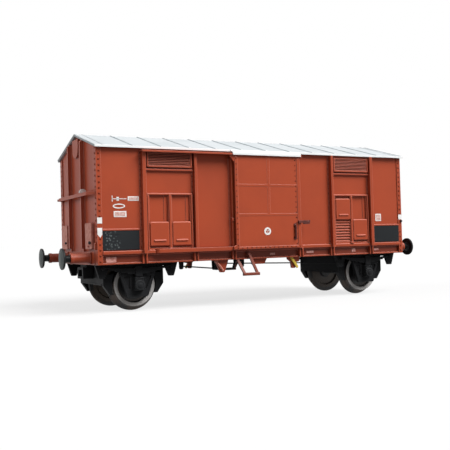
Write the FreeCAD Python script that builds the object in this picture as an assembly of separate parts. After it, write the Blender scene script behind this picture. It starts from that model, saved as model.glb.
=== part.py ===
"""Two-axle covered goods wagon, a railway model at 1:87, as separate pieces.

Millimetres.  X runs along the wagon, Y across it and Z up.  Z = 0 is the foot of the wheel
flanges and X = Y = 0 is the middle of the wagon.  Near is the side at -Y, left the end at -X.
The far side is the near side turned half a turn about Z, as on the real wagon, so each piece
is drawn once, near or left, and its twin is a turned copy.
"""
import FreeCAD
import Part
import math
import os

V = FreeCAD.Vector

# ---- wheelsets: they set how high and how wide the running gear stands
TREAD_R = 5.3
FLANGE_DEPTH = 1.0
WHEEL_W = 2.8
BACK_TO_BACK = 14.4
RIM_T = 0.95            # thickness of the rim, from the tread inwards
HUB_R = 1.7
AXLE_R = 0.75
POINT_L = 1.45          # length of the axle's conical ends
POINT_R = 0.1
POINT_IN = 0.75         # how far the points reach into the axle guards
BEARING_GAP = 0.08

# ---- body shell
BODY_L = 90.6           # over the corner posts
BODY_W = 31.4           # over the corner posts
AXLE_SETBACK = 10.8     # from the end of the body to the axle
WALL_T = 1.0
WALL_H = 24.8           # from the foot of the walls to the eaves
ROOF_RISE = 4.65
ROOF_T = 0.5
EAVE_OUT = 0.8
VERGE_OUT = 0.4
SEAM_PITCH = 7.27
SEAM_W = 0.34
SEAM_LIFT = 0.09
POST_T = 0.2            # thickness of the corner angles, which stand out from the walls
POST_SIDE = 1.25        # their width on the side
POST_END = 1.9          # their width on the end
CANOPY_T = 0.2
CANOPY_GAP = 0.05       # between a door hood and the guide under it

# ---- frame
WHEEL_TOP_GAP = 0.4     # between the flanges and the deck
FRAME_H = 1.5           # from the deck's underside down to the foot of the frame
SOLE_H = 2.35
SOLE_T = 0.35           # flange thickness of the sole bars
SOLE_WEB_T = 0.5
DECK_T = 0.5
WEIGHT_T = 0.9
FLOOR_T = 0.5
WEIGHT_MARGIN = 2.0     # between the steel weight and the walls
BEAM_FACE_T = 0.3
BEAM_FACE_MARGIN = 2.1  # between the face of the buffer beam and the sides of the body

# ---- side walls, measured along X from the middle and outwards from the panels
OUTER_STAKE_AT = 0.747  # places of the stakes as shares of half the body's length
INNER_STAKE_AT = 0.4515
STAKE_OUT = 1.25
STAKE_FRONT = 0.9
STAKE_INNER_FRONT = 0.68
STAKE_SPREAD = 0.08     # each side of a stake slopes out by this much
STAKE_FOOT = 0.3        # width of the riveted flange on each side of a stake
STAKE_FOOT_T = 0.15
LEDGE_H = 0.8
LEDGE_OUT = 0.5
RAIL_H = 0.95
RAIL_GAP = 0.1          # between the rail and the door that hangs in front of it

# ---- doors
DOOR_X0 = -10.0
DOOR_X1 = 9.4
DOOR_TRAVEL = 19.3
DOOR_GAP = 0.15         # between the door and the stakes that it passes
DOOR_T = 0.5
DOOR_SKIN = 0.25
DOOR_LAP = 0.8          # how far the door covers the wall beside its opening
DOOR_LIFT = 0.2         # between the foot of the walls and the foot of the door
GUIDE_DROP = 0.65       # from the eaves down to the guide
GUIDE_T = 0.25
GUIDE_H = 0.2
GUIDE_LIP = 0.25        # how far the guide hangs down in front of the door
STILE_W = 0.95
RAISED = 0.08           # height of laps, stiles and flanges of the door

# ---- shutter bays, between the outer and the inner stake
BAY_GAP = 0.02          # between the feet of the stakes and the frame of the bay
SIDE_BAR = 0.6
MID_BAR = 1.05
FRAME_T = 0.3
RECESS = 0.25
BAY_SILL_H = 0.45
BAY_HEAD_Z = 13.85      # above the foot of the walls
BAY_HEAD_H = 0.42
VENT_RIB_Z = 19.65      # above the foot of the walls
VENT_RIB_H = 0.5
VENT_H = 3.7
VENT_OUT = 0.85
VENT_SLATS = 8
VENT_RIM = 0.35
SHUTTER_H = 5.85
SHUTTER_T = 0.4
SHUTTER_SLOPE = 0.22    # width and depth of the sloping border round a shutter's face
SHUTTER_FOOT_R = 0.15
SHUTTER_SHOULDER_R = 0.55
SHUTTER_LAP = 0.16      # how far a shutter covers the bars on each side
SHUTTER_RISE = 6.05     # from lowered to raised
GRIP_L = 3.0
GRIP_R = 0.24
GRIP_UP = 1.3           # above the foot of a shutter
LOUVRES = 8

# ---- boards and ends
BOARD_H = 4.5
BOARD_T = 0.25
BOARD_GAP = 0.4         # round a board
END_STAKE_Y = 5.5
END_STAKE_OUT = 0.6
END_RAIL_Z = 13.95      # above the foot of the walls
END_RAIL_H = 0.8
END_RAIL_T = 0.4
END_RAIL_OUT = 1.3      # from the end panel to the back of the rail
END_LUG_W = 0.6         # stand-off between the rail and a stake
END_DISC_R = 0.88
END_DISC_T = 0.6
END_DISC_IN = 6.5       # from the side of the body to the disc
END_PLATE_W = 5.0
END_PLATE_H = 6.1
END_PLATE_T = 0.8
GABLE_PLATE_R = 2.4
GABLE_PLATE_T = 0.5

# ---- buffers and couplers
BUFFER_UP = 1.6         # above the foot of the frame
BUFFER_Y = 10.05
BUFFER_R = 2.5
BUFFER_L = 7.4          # from the body panel to the tip
HEAD_T = 0.7
SLEEVE_L = 4.9
SLEEVE_R = 1.25
SHANK_R = 0.85
HOOK_HOLE_R = 0.6
HOOK_HOLE_L = 1.3
POCKET_W = 4.9
POCKET_H = 2.8
POCKET_GAP = 0.1        # between the coupler pocket and the brake beam
POCKET_DROP = 0.8       # from the foot of the frame to the top of the pocket
MOUTH_W = 3.2
MOUTH_H = 1.7

# ---- running gear
GUARD_GAP = 1.3         # between the wheels and the axle guards
GUARD_T = 1.0
GUARD_HALF = 4.9
GUARD_FOOT = 2.8        # below the middle of the axle
SPRING_HALF = 8.7
SPRING_W = 0.8
LEAF_T = 0.26
LEAVES = 5
SPRING_TOP = 4.05       # above the middle of the axle
SPRING_CAMBER = 0.45
BUCKLE_W = 1.8
BOX_OUT = 1.3
BOX_W = 2.6
BOX_H = 3.5
COVER_R = 1.25
COVER_T = 0.4
HANGER_T = 0.8
HANGER_GAP = 0.1        # between a guard and the root of a hanger
HANGER_ROOT_H = 0.8
HANGER_FOOT_Z = 1.85    # above the middle of the axle
SHOE_GAP = 0.32
SHOE_W = 1.6
BRAKE_OUT = 7.0         # from the axle to the brake beam
BRAKE_T = 0.7
BRAKE_FLANGE = 0.15
SHOE_IN = 3.0           # from the axle to a shoe's inner end
SHOE_TAIL = 0.9         # how far the brake beam stands behind a shoe's foot
SHOE_UP = 2.7           # a shoe's reach above and below the axle
SHOE_DOWN = 2.2
ROD_R = 0.16
SHAFT_X = -12.6
SHAFT_UP = 3.0          # above the middle of the axle
SHAFT_R = 0.35
CRANK_H = 1.9
LUG_T = 0.4
LUG_IN = 12.0           # from the left axle to the lug of the pull rod
LINK_IN = 1.9           # from the sole bar to the link
LINK_L = 3.9
BRACKET_T = 0.6

# ---- steps, levers and plates below the sole bar, measured from the door's edges
STEP_DROP = 4.1
STEP_OUT = 1.7          # from the panel to the tread
STEP_LEG_W = 0.7
STEP_LEG_T = 0.5
STEP_LEFT = 1.3         # from the door's left edge to the tops of the legs
STEP_RIGHT = 4.15
STEP_FOOT_LEFT = 2.25   # and to their feet
STEP_FOOT_RIGHT = 5.95
TREAD_H = 0.75
LEVER_IN = 2.1          # from the door's right edge
LEVER_W = 0.8
LEVER_L = 3.1
LEVER_LEAN = 1.7
PLATE_IN = 5.6          # from the door's left edge
PLATE_W = 4.8
PLATE_DROP = 1.4
CARRIER_IN = 2.6        # from the door's right edge
CARRIER_W = 3.7
CARRIER_DROP = 2.9

# ---- heights and places worked out from the sizes above
AXLE_Z = FLANGE_DEPTH + TREAD_R
DECK_Z = AXLE_Z + TREAD_R + FLANGE_DEPTH + WHEEL_TOP_GAP
SOLE_Z = DECK_Z - FRAME_H
WALL_Z = SOLE_Z + SOLE_H
LEDGE_Z = WALL_Z + LEDGE_H
RAIL_Z = WALL_Z + RAIL_H
EAVE_Z = WALL_Z + WALL_H
RIDGE_Z = EAVE_Z + ROOF_RISE + ROOF_T
FLOOR_Z = DECK_Z + DECK_T + WEIGHT_T
GUIDE_Z = EAVE_Z - GUIDE_DROP
OPENING_Z = GUIDE_Z - 1.0
BUFFER_Z = SOLE_Z + BUFFER_UP
PANEL_X = BODY_L / 2 - POST_T
PANEL_Y = BODY_W / 2 - POST_T
INNER_X = PANEL_X - WALL_T
INNER_Y = PANEL_Y - WALL_T
EAVE_Y = BODY_W / 2 + EAVE_OUT
SLOPE = ROOF_RISE / EAVE_Y
STAKE_Y = PANEL_Y + STAKE_OUT
LEAF_Y0 = STAKE_Y + DOOR_GAP
LEAF_Y1 = LEAF_Y0 + DOOR_T
GUIDE_Y = LEAF_Y1 + 0.1
RAIL_TIP_X = DOOR_X0 - DOOR_TRAVEL - 1.9
OUTER_STAKE_X = OUTER_STAKE_AT * BODY_L / 2
INNER_STAKE_X = INNER_STAKE_AT * BODY_L / 2
BAY_X = (OUTER_STAKE_X + INNER_STAKE_X) / 2
STAKE_HALF = STAKE_FRONT / 2 + STAKE_SPREAD + STAKE_FOOT
BAY_HALF = (OUTER_STAKE_X - INNER_STAKE_X) / 2 - STAKE_HALF - BAY_GAP
POCKET = BAY_HALF - SIDE_BAR - MID_BAR / 2
SHUTTER_W = POCKET + 2 * SHUTTER_LAP
SHUTTER_DX = (POCKET + MID_BAR) / 2
AXLE_X = BODY_L / 2 - AXLE_SETBACK
WHEEL_Y = BACK_TO_BACK / 2 + WHEEL_W
GUARD_Y = WHEEL_Y + GUARD_GAP
GUARD_FACE_Y = GUARD_Y + GUARD_T
TIP_Y = GUARD_Y + POINT_IN


# ------------------------------------------------------------------ drawing helpers
def rounded_path(corners, closed):
    """Edges through 3-D corners (point, radius); a radius rounds its corner with an arc."""
    count = len(corners)
    starts, ends, edges = [], [], []
    for k, (point, radius) in enumerate(corners):
        inner = closed or 0 < k < count - 1
        if not radius or not inner:
            starts.append(point)
            ends.append(point)
            continue
        back = (corners[k - 1][0] - point).normalize()
        ahead = (corners[(k + 1) % count][0] - point).normalize()
        half = back.getAngle(ahead) / 2
        reach = radius / math.tan(half)
        middle = point + (back + ahead).normalize() * (radius / math.sin(half) - radius)
        starts.append(point + back * reach)
        ends.append(point + ahead * reach)
        edges.append((k, Part.Arc(starts[k], middle, ends[k]).toShape()))
    for k in range(count if closed else count - 1):
        a, b = ends[k], starts[(k + 1) % count]
        if a.distanceToPoint(b) > 1e-6:
            edges.append((k + 0.5, Part.LineSegment(a, b).toShape()))
    return Part.Wire([edge for _, edge in sorted(edges, key=lambda item: item[0])])


def face(corners, place):
    """Flat face through corners (a, b) or (a, b, radius); place turns (a, b) into a point."""
    return Part.Face(rounded_path([(place(c[0], c[1]), c[2] if len(c) > 2 else 0) for c in corners], True))


def prism_x(corners, x0, x1):
    """Outline in (y, z), extruded from x0 to x1."""
    return face(corners, lambda y, z: V(x0, y, z)).extrude(V(x1 - x0, 0, 0))


def prism_y(corners, y0, y1):
    """Outline in (x, z), extruded from y0 to y1."""
    return face(corners, lambda x, z: V(x, y0, z)).extrude(V(0, y1 - y0, 0))


def prism_z(corners, z0, z1):
    """Outline in (x, y), extruded from z0 to z1."""
    return face(corners, lambda x, y: V(x, y, z0)).extrude(V(0, 0, z1 - z0))


def box(x0, x1, y0, y1, z0, z1):
    return Part.makeBox(x1 - x0, y1 - y0, z1 - z0, V(x0, y0, z0))


def rectangle(a0, a1, b0, b1, radius=0):
    return [(a0, b0, radius), (a1, b0, radius), (a1, b1, radius), (a0, b1, radius)]


def lathe_x(corners, y, z):
    """Profile (x, radius) turned about the line along X through y, z."""
    return face(corners, lambda x, r: V(x, y, z + r)).revolve(V(0, y, z), V(1, 0, 0), 360)


def lathe_y(corners, x, z):
    """Profile (y, radius) turned about the line along Y through x, z."""
    return face(corners, lambda y, r: V(x, y, z + r)).revolve(V(x, 0, z), V(0, 1, 0), 360)


def rod(a, b, r):
    a, b = V(*a), V(*b)
    return Part.makeCylinder(r, (b - a).Length, a, b - a)


def bent_rod(points, r, bend):
    """Round rod swept along points, with one bend radius at its corners."""
    points = [V(*p) for p in points]
    path = rounded_path([(p, bend) for p in points], False)
    end = Part.Wire(Part.Circle(points[0], points[1] - points[0], r).toShape())
    return path.makePipeShell([end], True, True)


def bar(a, b, wx, wy):
    """Flat bar lofted between level rectangles, wx by wy, about the points a and b."""
    ends = []
    for x, y, z in (a, b):
        corners = rectangle(x - wx / 2, x + wx / 2, y - wy / 2, y + wy / 2)
        ends.append(rounded_path([(V(c[0], c[1], z), 0) for c in corners], True))
    return Part.makeLoft(ends, True, True)


def fuse(shapes):
    first = shapes[0]
    if len(shapes) > 1:
        first = first.multiFuse(shapes[1:])
    return first.removeSplitter()


def moved(shape, x=0.0, y=0.0, z=0.0):
    copy = shape.copy()
    copy.translate(V(x, y, z))
    return copy


def row(shape, pitch, count):
    """Copies of a shape, each set off from the last by the vector pitch."""
    return [moved(shape, *(pitch * k)) for k in range(count)]


def turned(shape):
    """The same piece on the other side: half a turn about Z."""
    copy = shape.copy()
    copy.rotate(V(0, 0, 0), V(0, 0, 1), 180)
    return copy


def both(*shapes):
    return list(shapes) + [turned(shape) for shape in shapes]


def mirrored_y(shape):
    return shape.mirror(V(0, 0, 0), V(0, 1, 0))


def under(y):
    """Height of the roof's underside at a distance y from the middle."""
    return EAVE_Z + ROOF_RISE - SLOPE * abs(y)


# ------------------------------------------------------------------ roof
def roof_band(lift):
    """Outline in (y, z) of the roof sheet with its top raised by lift."""
    top = EAVE_Z + ROOF_T + lift
    return [(-EAVE_Y, EAVE_Z), (-EAVE_Y, top), (0, RIDGE_Z + lift), (EAVE_Y, top), (EAVE_Y, EAVE_Z),
        (0, under(0))]


def roof():
    """Sheet roof with standing seams and a raised strip along each verge."""
    half = BODY_L / 2 + VERGE_OUT
    verge_w = 0.55
    solids = [prism_x(roof_band(0), -half, half)]
    for side in (-1, 1):
        x = side * (half - verge_w / 2)
        solids.append(prism_x(roof_band(SEAM_LIFT), x - verge_w / 2, x + verge_w / 2))
    count = int((half - verge_w) / SEAM_PITCH)
    seam = prism_x(roof_band(SEAM_LIFT), -SEAM_W / 2, SEAM_W / 2)
    first = moved(seam, x=-count * SEAM_PITCH)
    return fuse(solids + row(first, V(SEAM_PITCH, 0, 0), 2 * count + 1))


def canopy():
    """Sheet hood over one door: it leaves the eave and turns down in front of the guide."""
    t = CANOPY_T
    out = GUIDE_Y + GUIDE_T + t
    top = EAVE_Z + ROOF_T
    front = GUIDE_Z + GUIDE_H + CANOPY_GAP + t
    lip = GUIDE_Z - GUIDE_LIP
    yz = [
        (-EAVE_Y, top), (-EAVE_Y, top - t), (-out + t, front - t), (-out + t, lip), (-out, lip),
        (-out, front, 0.3),
    ]
    return prism_x(yz, DOOR_X0 - 0.6, DOOR_X1 + 0.2)


# ------------------------------------------------------------------ sides
def wall_sheet(x0, x1, z0):
    yz = [(-PANEL_Y, z0), (-INNER_Y, z0), (-INNER_Y, under(INNER_Y)), (-PANEL_Y, under(PANEL_Y))]
    return prism_x(yz, x0, x1)


def hat(front, out):
    """Hat section (across, out) of a stake that stands out from its panel."""
    side = front / 2 + STAKE_SPREAD
    foot = side + STAKE_FOOT
    half = [(front / 2, out), (side, STAKE_FOOT_T), (foot, STAKE_FOOT_T), (foot, 0)]
    return [(-a, b) for a, b in reversed(half)] + half


def side_stake(x, front, z0, z1):
    return prism_z([(x + a, -PANEL_Y - b) for a, b in hat(front, STAKE_OUT)], z0, z1)


def bay_pockets(cx):
    """Recesses behind the shutters, each with a shallower step beside the outer bar."""
    z0 = LEDGE_Z + BAY_SILL_H
    z1 = WALL_Z + BAY_HEAD_Z
    step = 0.9
    pockets = []
    for x in (cx - SHUTTER_DX, cx + SHUTTER_DX):
        x0, x1 = x - POCKET / 2, x + POCKET / 2
        pockets.append(box(x0, x1 - step, -PANEL_Y, -PANEL_Y + RECESS, z0, z1))
        pockets.append(box(x1 - step, x1, -PANEL_Y, -PANEL_Y + RECESS / 2, z0, z1))
    return pockets


def guide_bar(x0, x1, rib_x0, rib_x1, z0, z1):
    """Flat bar with the rib that keeps a shutter in its track."""
    f = PANEL_Y + FRAME_T
    rib = f + SHUTTER_T * 0.75
    xy = [(x0, -PANEL_Y), (x0, -f), (rib_x0, -f), (rib_x0, -rib), (rib_x1, -rib), (rib_x1, -f), (x1, -f),
        (x1, -PANEL_Y)]
    return prism_z([p for k, p in enumerate(xy) if p != xy[k - 1]], z0, z1)


def bay_frame(cx):
    """Sill, head and three guide bars round a pair of shutters, and the rib under the ventilator."""
    z0 = LEDGE_Z
    z1 = WALL_Z + BAY_HEAD_Z
    rib_w = BAY_HALF - SHUTTER_DX - SHUTTER_W / 2 - 0.15
    mid_rib = 2 * SHUTTER_DX - SHUTTER_W - 0.15
    x0, x1 = cx - BAY_HALF, cx + BAY_HALF
    f = -PANEL_Y - FRAME_T
    head_out = FRAME_T + SHUTTER_T / 2
    rib_z = WALL_Z + VENT_RIB_Z
    return [
        guide_bar(x0, x0 + SIDE_BAR, x0 + 0.01, x0 + rib_w, z0, z1),
        guide_bar(cx - MID_BAR / 2, cx + MID_BAR / 2, cx - mid_rib / 2, cx + mid_rib / 2, z0, z1),
        guide_bar(x1 - SIDE_BAR, x1, x1 - rib_w, x1 - 0.01, z0, z1),
        box(x0, x1, f, -PANEL_Y, z0, z0 + BAY_SILL_H),
        box(cx - MID_BAR / 2, cx + MID_BAR / 2, f - SHUTTER_T, f, z0, z0 + BAY_SILL_H * 0.8),
        prism_x([(-PANEL_Y, z1), (-PANEL_Y - head_out, z1, 0.1),
            (-PANEL_Y - head_out, z1 + BAY_HEAD_H, 0.2),
                 (-PANEL_Y, z1 + BAY_HEAD_H)], x0, x1),
        prism_x([(-PANEL_Y, rib_z), (-PANEL_Y - 0.6, rib_z, 0.1), (-PANEL_Y - 0.6, rib_z + VENT_RIB_H, 0.2),
                 (-PANEL_Y, rib_z + VENT_RIB_H)], x0 - STAKE_FOOT, x1 + STAKE_FOOT),
    ]


def board_span(hand):
    """Ends in X of the board on one hand: it fills the bay between corner post and stake."""
    outer = BODY_L / 2 - POST_SIDE
    inner = OUTER_STAKE_X + STAKE_HALF + BOARD_GAP
    return sorted((hand * inner, hand * outer))


def ledge(x0, x1):
    """Bevelled ledge along the foot of a wall."""
    y = -PANEL_Y
    return prism_x([(y, WALL_Z), (y - LEDGE_OUT, WALL_Z), (y - LEDGE_OUT, LEDGE_Z, 0.2), (y, LEDGE_Z)],
        x0, x1)


def side_panel(hand):
    """Near-side wall on one hand of the door (-1 left, 1 right) with its stakes and bars."""
    cx = hand * BAY_X
    x0, x1 = board_span(hand)
    bead_z = LEDGE_Z + BOARD_GAP / 2 + BOARD_H
    bead_y = -PANEL_Y - 0.35
    bead = [(-PANEL_Y, bead_z), (bead_y, bead_z, 0.12), (bead_y, bead_z + 0.4, 0.12),
        (-PANEL_Y, bead_z + 0.4)]
    solids = bay_frame(cx) + [prism_x(bead, x0, x1)]
    if hand < 0:
        sheet = wall_sheet(-INNER_X, DOOR_X0 + DOOR_LAP, WALL_Z)
        solids.append(ledge(-BODY_L / 2 + POST_SIDE, RAIL_TIP_X))
        post_x = DOOR_X0 + DOOR_LAP
        jamb = hat(STAKE_FRONT, STAKE_OUT - 0.3)
        solids.append(prism_z([(post_x - 0.9 + a, -PANEL_Y - b) for a, b in jamb], RAIL_Z, OPENING_Z))
        catch_z = WALL_Z + 7.15
        catch = [(-PANEL_Y, catch_z), (-STAKE_Y, catch_z + 0.15, 0.2), (-STAKE_Y, catch_z + 1.0, 0.2),
                 (-PANEL_Y, catch_z + 1.2)]
        solids.append(prism_x(catch, post_x - 1.5, post_x - 1.0))
        stake_top = GUIDE_Z
    else:
        sheet = wall_sheet(DOOR_X1 - DOOR_LAP, INNER_X, WALL_Z)
        solids.append(ledge(DOOR_X1 + 0.85, BODY_L / 2 - POST_SIDE))
        stake_top = EAVE_Z - 0.05
    for x, front in ((OUTER_STAKE_X, STAKE_FRONT), (INNER_STAKE_X, STAKE_INNER_FRONT)):
        solids.append(side_stake(hand * x, front, WALL_Z, stake_top))
    for pocket in bay_pockets(cx):
        sheet = sheet.cut(pocket)
    rail_room = box(RAIL_TIP_X, DOOR_X1 + 0.8, -LEAF_Y1, -PANEL_Y, WALL_Z, RAIL_Z)
    return fuse([sheet] + solids).cut(rail_room)


def slat(y0, y1, drop, t):
    """Corners in (y, z) of a louvre that falls from y1 at the back to y0 at the front."""
    return [(y1, drop), (y0, 0), (y0, t), (y1, drop + t)]


def ventilator(cx):
    """Framed louvre block above a shutter bay."""
    z0 = WALL_Z + VENT_RIB_Z + VENT_RIB_H + 0.3
    z1 = z0 + VENT_H
    half = BAY_HALF
    rim = VENT_RIM
    y0 = -PANEL_Y - VENT_OUT
    outer = [(cx - half, z0, 0.4), (cx + half, z0, 0.4), (cx + half, z1), (cx - half, z1)]
    frame = prism_y(outer, y0, -PANEL_Y)
    frame = frame.cut(box(cx - half + rim, cx + half - rim, y0 - 1, -PANEL_Y - 0.15, z0 + rim,
        z1 - rim / 2))
    pitch = (VENT_H - 1.5 * rim) / VENT_SLATS
    low = z0 + rim + 0.06
    first = prism_x([(y, low + z) for y, z in slat(y0 + 0.1, -PANEL_Y - 0.1, 0.22, pitch * 0.4)],
                    cx - half + rim / 2, cx + half - rim / 2)
    return fuse([frame] + row(first, V(0, 0, pitch), VENT_SLATS))


def shutter_outline(x, z0, z1, inset):
    """Outline with rounded shoulders, drawn in by inset on every side."""
    half = SHUTTER_W / 2 - inset
    low, high = z0 + inset, z1 - inset
    shoulder = SHUTTER_SHOULDER_R - inset
    return [(x - half, low, SHUTTER_FOOT_R), (x + half, low, SHUTTER_FOOT_R), (x + half, high, shoulder),
            (x - half, high, shoulder)]


def shutter(x, raised):
    """Pressed shutter with rounded shoulders, a sloping border and a half-round grip."""
    z0 = LEDGE_Z + BAY_SILL_H + (SHUTTER_RISE if raised else 0.35)
    z1 = z0 + SHUTTER_H
    y = -PANEL_Y - FRAME_T
    front = y - SHUTTER_T
    mid = front + SHUTTER_SLOPE
    plate = prism_y(shutter_outline(x, z0, z1, 0), mid, y)
    rims = []
    for at, inset in ((mid, 0), (front, SHUTTER_SLOPE)):
        rims.append(rounded_path([(V(a, at, b), r) for a, b, r in shutter_outline(x, z0, z1, inset)], True))
    grip_z = z0 + GRIP_UP
    grip = rod((x - GRIP_L / 2, front, grip_z), (x + GRIP_L / 2, front, grip_z), GRIP_R)
    return fuse([plate, Part.makeLoft(rims, True, True), grip])


def hatch_louvre():
    """Louvres that the raised shutter shows."""
    x0 = BAY_X - SHUTTER_DX - POCKET / 2
    y1 = -PANEL_Y + RECESS / 2
    z0 = LEDGE_Z + BAY_SILL_H
    back = box(x0, x0 + POCKET, y1 - 0.1, y1, z0, z0 + SHUTTER_RISE)
    pitch = SHUTTER_RISE / LOUVRES
    first = prism_x([(y, z0 + z) for y, z in slat(-PANEL_Y - 0.25, y1, 0.3, pitch * 0.42)], x0, x0 + POCKET)
    return fuse([back] + row(first, V(0, 0, pitch), LOUVRES))


def board(hand):
    x0, x1 = board_span(hand)
    z0 = LEDGE_Z + BOARD_GAP / 2
    return box(x0, x1, -PANEL_Y - BOARD_T, -PANEL_Y, z0, z0 + BOARD_H)


def corner_post(end):
    """Angle iron on the near corner at one end (-1 left, 1 right)."""
    x0 = end * BODY_L / 2
    y0 = -BODY_W / 2
    xy = [
        (x0, y0), (x0 - end * POST_SIDE, y0), (x0 - end * POST_SIDE, y0 + POST_T),
        (x0 - end * POST_T, y0 + POST_T), (x0 - end * POST_T, y0 + POST_END), (x0, y0 + POST_END),
    ]
    return prism_z(xy, SOLE_Z, under(BODY_W / 2))


# ------------------------------------------------------------------ doors and their rails
def door_rail():
    """Runner along the foot of the wall; its free tip curves back to the wall."""
    outer = -LEAF_Y0 + RAIL_GAP
    x1 = DOOR_X1 + 0.8
    xy = [(RAIL_TIP_X, -PANEL_Y), (RAIL_TIP_X, outer, 1.2), (x1, outer), (x1, -PANEL_Y)]
    return prism_z(xy, WALL_Z, RAIL_Z)


def door_guide():
    """Lintel over the opening and the angle in which the door's top edge slides."""
    out = GUIDE_Y + GUIDE_T
    top = GUIDE_Z + GUIDE_H
    yz = [
        (-PANEL_Y, GUIDE_Z), (-PANEL_Y, top), (-out, top), (-out, GUIDE_Z - GUIDE_LIP),
        (-GUIDE_Y, GUIDE_Z - GUIDE_LIP),
        (-GUIDE_Y, GUIDE_Z),
    ]
    angle = prism_x(yz, RAIL_TIP_X - 3.4, DOOR_X1 + 0.6)
    lintel = wall_sheet(DOOR_X0 + DOOR_LAP, DOOR_X1 - DOOR_LAP, OPENING_Z)
    return fuse([angle, lintel])


def door_leaf():
    """Door pressed as a pan, with stiles, a foot flange, two laps and one upright seam."""
    z0 = WALL_Z + DOOR_LIFT
    z1 = GUIDE_Z - 0.15
    face_y = -LEAF_Y1
    pan = box(DOOR_X0, DOOR_X1, face_y, -LEAF_Y0, z0, z1)
    rim = DOOR_SKIN
    pan = pan.cut(box(DOOR_X0 + rim, DOOR_X1 - rim, face_y + DOOR_SKIN, 0, z0 + rim, z1 - rim))
    third = (z1 - z0) / 3
    low_lap, high_lap = z0 + third + 0.45, z1 - third
    seam_x = (DOOR_X0 + DOOR_X1) / 2 - 0.3

    def strip(x0, x1, za, zb, lift=RAISED):
        return box(x0, x1, face_y - lift, face_y, za, zb)

    strips = [
        strip(DOOR_X0, DOOR_X0 + STILE_W * 0.85, z0, z1 - 0.55),
        strip(DOOR_X1 - STILE_W, DOOR_X1, z0, z1 - 0.55, RAISED * 1.5),
        strip(DOOR_X0, DOOR_X1, z0, z0 + 0.6),
        strip(DOOR_X0, DOOR_X1, low_lap, low_lap + 0.55, RAISED / 2),
        strip(DOOR_X0, DOOR_X1, high_lap, high_lap + 0.55, RAISED / 2),
        strip(seam_x, seam_x + 0.75, low_lap, z1, RAISED / 2),
    ]
    return fuse([pan] + strips)


def door_fittings():
    """Latch, handle, top bracket and foot hook of the near door."""
    y = -LEAF_Y1
    z0 = WALL_Z + DOOR_LIFT
    z1 = GUIDE_Z - 0.15
    latch_z = WALL_Z + 7.8
    x1 = DOOR_X1
    tongue = [
        (x1 - 1.1, latch_z - 0.4, 0.3), (x1 + 2.2, latch_z - 0.3), (x1 + 2.6, latch_z - 0.6, 0.2),
        (x1 + 3.3, latch_z - 0.45, 0.3), (x1 + 3.2, latch_z + 0.35, 0.3), (x1 - 1.1, latch_z + 0.4, 0.3),
    ]
    boss = rod((x1 - 0.6, y - RAISED * 1.5, latch_z), (x1 - 0.6, y - 0.55, latch_z), 0.3)
    latch = fuse([prism_y(tongue, y - 0.5, y - 0.2), boss])
    handle_x = x1 - 1.8
    low, high = WALL_Z + 2.7, WALL_Z + 6.1
    grip_y = y - 0.4
    handle = bent_rod([(handle_x, y, low), (handle_x, grip_y, low), (handle_x, grip_y, high),
        (handle_x, y, high)],
                      0.18, 0.2)
    wing = 1.2
    gusset = prism_y([(DOOR_X0, z1 - 2.05), (DOOR_X0 - wing, z1 - 0.45), (DOOR_X0 - wing, z1),
        (DOOR_X0, z1)],
                     y, -LEAF_Y0)
    hook = prism_y([(DOOR_X0, z0), (DOOR_X0 - 0.75, z0, 0.3), (DOOR_X0 - 0.75, z0 + 0.7, 0.2),
        (DOOR_X0, z0 + 1.2)],
                   y - RAISED, -LEAF_Y0)
    return [latch, handle, gusset, hook]


# ------------------------------------------------------------------ ends
def end_wall():
    """Left end wall with its two stakes."""
    yz = [(-PANEL_Y, WALL_Z), (PANEL_Y, WALL_Z), (PANEL_Y, under(PANEL_Y)), (0, under(0)),
        (-PANEL_Y, under(PANEL_Y))]
    solids = [prism_x(yz, -PANEL_X, -INNER_X)]
    roof_line = [(-EAVE_Y, WALL_Z), (EAVE_Y, WALL_Z), (EAVE_Y, EAVE_Z), (0, under(0)), (-EAVE_Y, EAVE_Z)]
    below_roof = prism_x(roof_line, -BODY_L, 0)
    for y in (-END_STAKE_Y, END_STAKE_Y):
        xy = [(-PANEL_X - b, y + a) for a, b in hat(STAKE_FRONT, END_STAKE_OUT)]
        solids.append(prism_z(xy, WALL_Z + LEDGE_H, under(0)).common(below_roof))
    return fuse(solids)


def end_rail():
    """Flat hand rail in front of the end stakes, bent back to both corners."""
    x = -PANEL_X - END_RAIL_OUT
    half = BODY_W / 2 - 3.4
    foot = BODY_W / 2 - 0.8
    z0 = WALL_Z + END_RAIL_Z
    t = END_RAIL_T
    post = -BODY_L / 2
    xy = [
        (x - t, -half, 0.4), (x - t, half, 0.4), (post, foot), (post, foot - 0.5), (x, half - 0.2),
        (x, -half + 0.2),
        (post, -foot + 0.5), (post, -foot),
    ]
    lug = box(x - t / 2, -PANEL_X - END_STAKE_OUT, -END_LUG_W / 2, END_LUG_W / 2, z0, z0 + END_RAIL_H)
    lugs = [moved(lug, y=side * END_STAKE_Y) for side in (-1, 1)]
    return fuse([prism_z(xy, z0, z0 + END_RAIL_H)] + lugs)


def gable_plate():
    """Blank plate under the ridge with a round foot."""
    r = GABLE_PLATE_R
    top = under(r) - 0.2
    yz = [(-r, top), (-r, top - 1.9 * r, r * 0.98), (r, top - 1.9 * r, r * 0.98), (r, top)]
    return prism_x(yz, -PANEL_X - GABLE_PLATE_T, -PANEL_X)


def end_plates():
    """Two upright pads with rounded corners low on the left end."""
    outer = BODY_W / 2 - POST_END - 0.8
    z0 = LEDGE_Z + 0.6
    pads = []
    for side in (-1, 1):
        y0, y1 = sorted((side * outer, side * (outer - END_PLATE_W)))
        pads.append(prism_x(rectangle(y0, y1, z0, z0 + END_PLATE_H, 0.3), -PANEL_X - END_PLATE_T, -PANEL_X))
    return pads


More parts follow.
